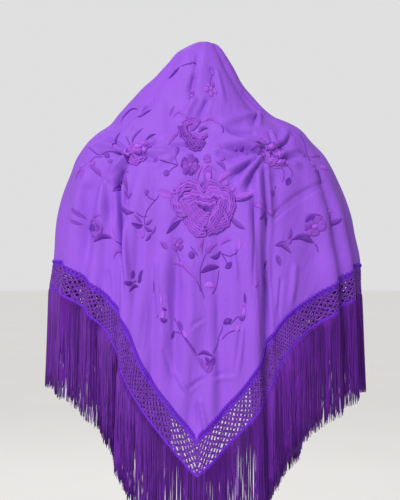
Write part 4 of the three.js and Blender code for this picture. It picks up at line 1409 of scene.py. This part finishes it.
class SHAWL_OT_stage(bpy.types.Operator):
    """Set the pale floor, the soft lights and the camera"""

    bl_idname = "shawl.stage"
    bl_label = "Stage"

    FLOOR_RADIUS = 30
    AIM = (0, 0, -0.4)
    SUN = {"at": (-0.9, -2.0, 1.6), "strength": 2.4, "breadth": 24, "colour": (1.0, 0.985, 0.96)}
    LIGHTS = {
        "fill": {"at": (-1.0, -2.4, -0.5), "size": 1.5, "power": 10, "colour": (1.0, 0.98, 0.97)},
        "key": {"at": (-1.2, -2.2, 1.3), "size": 1.0, "power": 27, "colour": (1.0, 0.98, 0.95)},
        "back": {"at": (-0.8, 3.8, 2.0), "size": 2.0, "power": 24, "colour": (1.0, 1.0, 1.0)},
    }
    SEEN_LIGHT = 0.8
    SOFT_LIGHT = 0.4

    def execute(self, context):
        stage = context.scene.shawl_stage
        bpy.ops.object.select_all(action="DESELECT")
        bpy.ops.mesh.primitive_circle_add(
            vertices=64, radius=self.FLOOR_RADIUS, fill_type="NGON", location=(0, 0, -stage.floor_drop))
        floor = context.object
        floor.name = "floor"
        floor.data.materials.append(backdrop_look())
        sun = bpy.data.lights.new("sun", "SUN")
        sun.energy, sun.angle = self.SUN["strength"], math.radians(self.SUN["breadth"])
        self.place_light(context, sun, self.SUN)
        for name, light in self.LIGHTS.items():
            lamp = bpy.data.lights.new(name, "AREA")
            lamp.size, lamp.energy = light["size"], light["power"]
            self.place_light(context, lamp, light)
        context.scene.world = self.make_world()
        context.scene.view_settings.view_transform = "Standard"
        camera = bpy.data.objects.new("camera", bpy.data.cameras.new("camera"))
        camera.data.lens = stage.camera_lens
        camera.location = (stage.camera_across, -stage.camera_back, stage.camera_height)
        camera.rotation_euler = (math.pi / 2, 0, 0)
        context.collection.objects.link(camera)
        context.scene.camera = camera
        return {"FINISHED"}

    def place_light(self, context, lamp, light):
        """Puts a lamp at its place, turned towards the shawl."""
        lamp.color = light["colour"]
        lit = bpy.data.objects.new(lamp.name, lamp)
        lit.location = light["at"]
        aim = Vector(self.AIM) - lit.location
        lit.rotation_euler = aim.to_track_quat("-Z", "Y").to_euler()
        context.collection.objects.link(lit)

    def make_world(self):
        """A pale studio that looks brighter than the soft light it gives."""
        world = bpy.data.worlds.new("studio")
        world.use_nodes = True
        nodes, links = world.node_tree.nodes, world.node_tree.links
        background = nodes["Background"]
        background.inputs["Color"].default_value = (0.93, 0.93, 0.94, 1)
        path = nodes.new("ShaderNodeLightPath")
        strength = nodes.new("ShaderNodeMapRange")
        strength.inputs["To Min"].default_value = self.SOFT_LIGHT
        strength.inputs["To Max"].default_value = self.SEEN_LIGHT
        links.new(path.outputs["Is Camera Ray"], strength.inputs["Value"])
        links.new(strength.outputs["Result"], background.inputs["Strength"])
        return world


OPERATORS = (SHAWL_OT_embroidery, SHAWL_OT_hem, SHAWL_OT_braids, SHAWL_OT_nets, SHAWL_OT_fringes,
             SHAWL_OT_cloth, SHAWL_OT_stage)


class SHAWL_PT_panel(bpy.types.Panel):
    """The shawl's sizes, dyes and pieces"""

    bl_idname = "SHAWL_PT_panel"
    bl_label = "Flamenco Shawl"
    bl_space_type = "VIEW_3D"
    bl_region_type = "UI"
    bl_category = "Shawl"

    def draw(self, context):
        for group_name in GROUPS:
            group = getattr(context.scene, group_name)
            box = self.layout.box()
            for name in group.__annotations__:
                box.prop(group, name)
        for operator in OPERATORS:
            self.layout.operator(operator.bl_idname)


GROUPS = {"shawl_sizes": ShawlSizes, "shawl_colours": ShawlColours, "shawl_stage": ShawlStage}


def register():
    for kind in (*GROUPS.values(), *OPERATORS, SHAWL_PT_panel):
        bpy.utils.register_class(kind)
    for name, kind in GROUPS.items():
        setattr(bpy.types.Scene, name, PointerProperty(type=kind))


def unregister():
    for name in GROUPS:
        delattr(bpy.types.Scene, name)
    for kind in (SHAWL_PT_panel, *reversed(OPERATORS), *reversed(list(GROUPS.values()))):
        bpy.utils.unregister_class(kind)


def main():
    register()
    bpy.ops.shawl.embroidery()
    bpy.ops.shawl.hem()
    bpy.ops.shawl.braids()
    bpy.ops.shawl.nets()
    bpy.ops.shawl.fringes()
    bpy.ops.shawl.cloth()
    bpy.ops.shawl.stage()


if __name__ == "__main__":
    main()
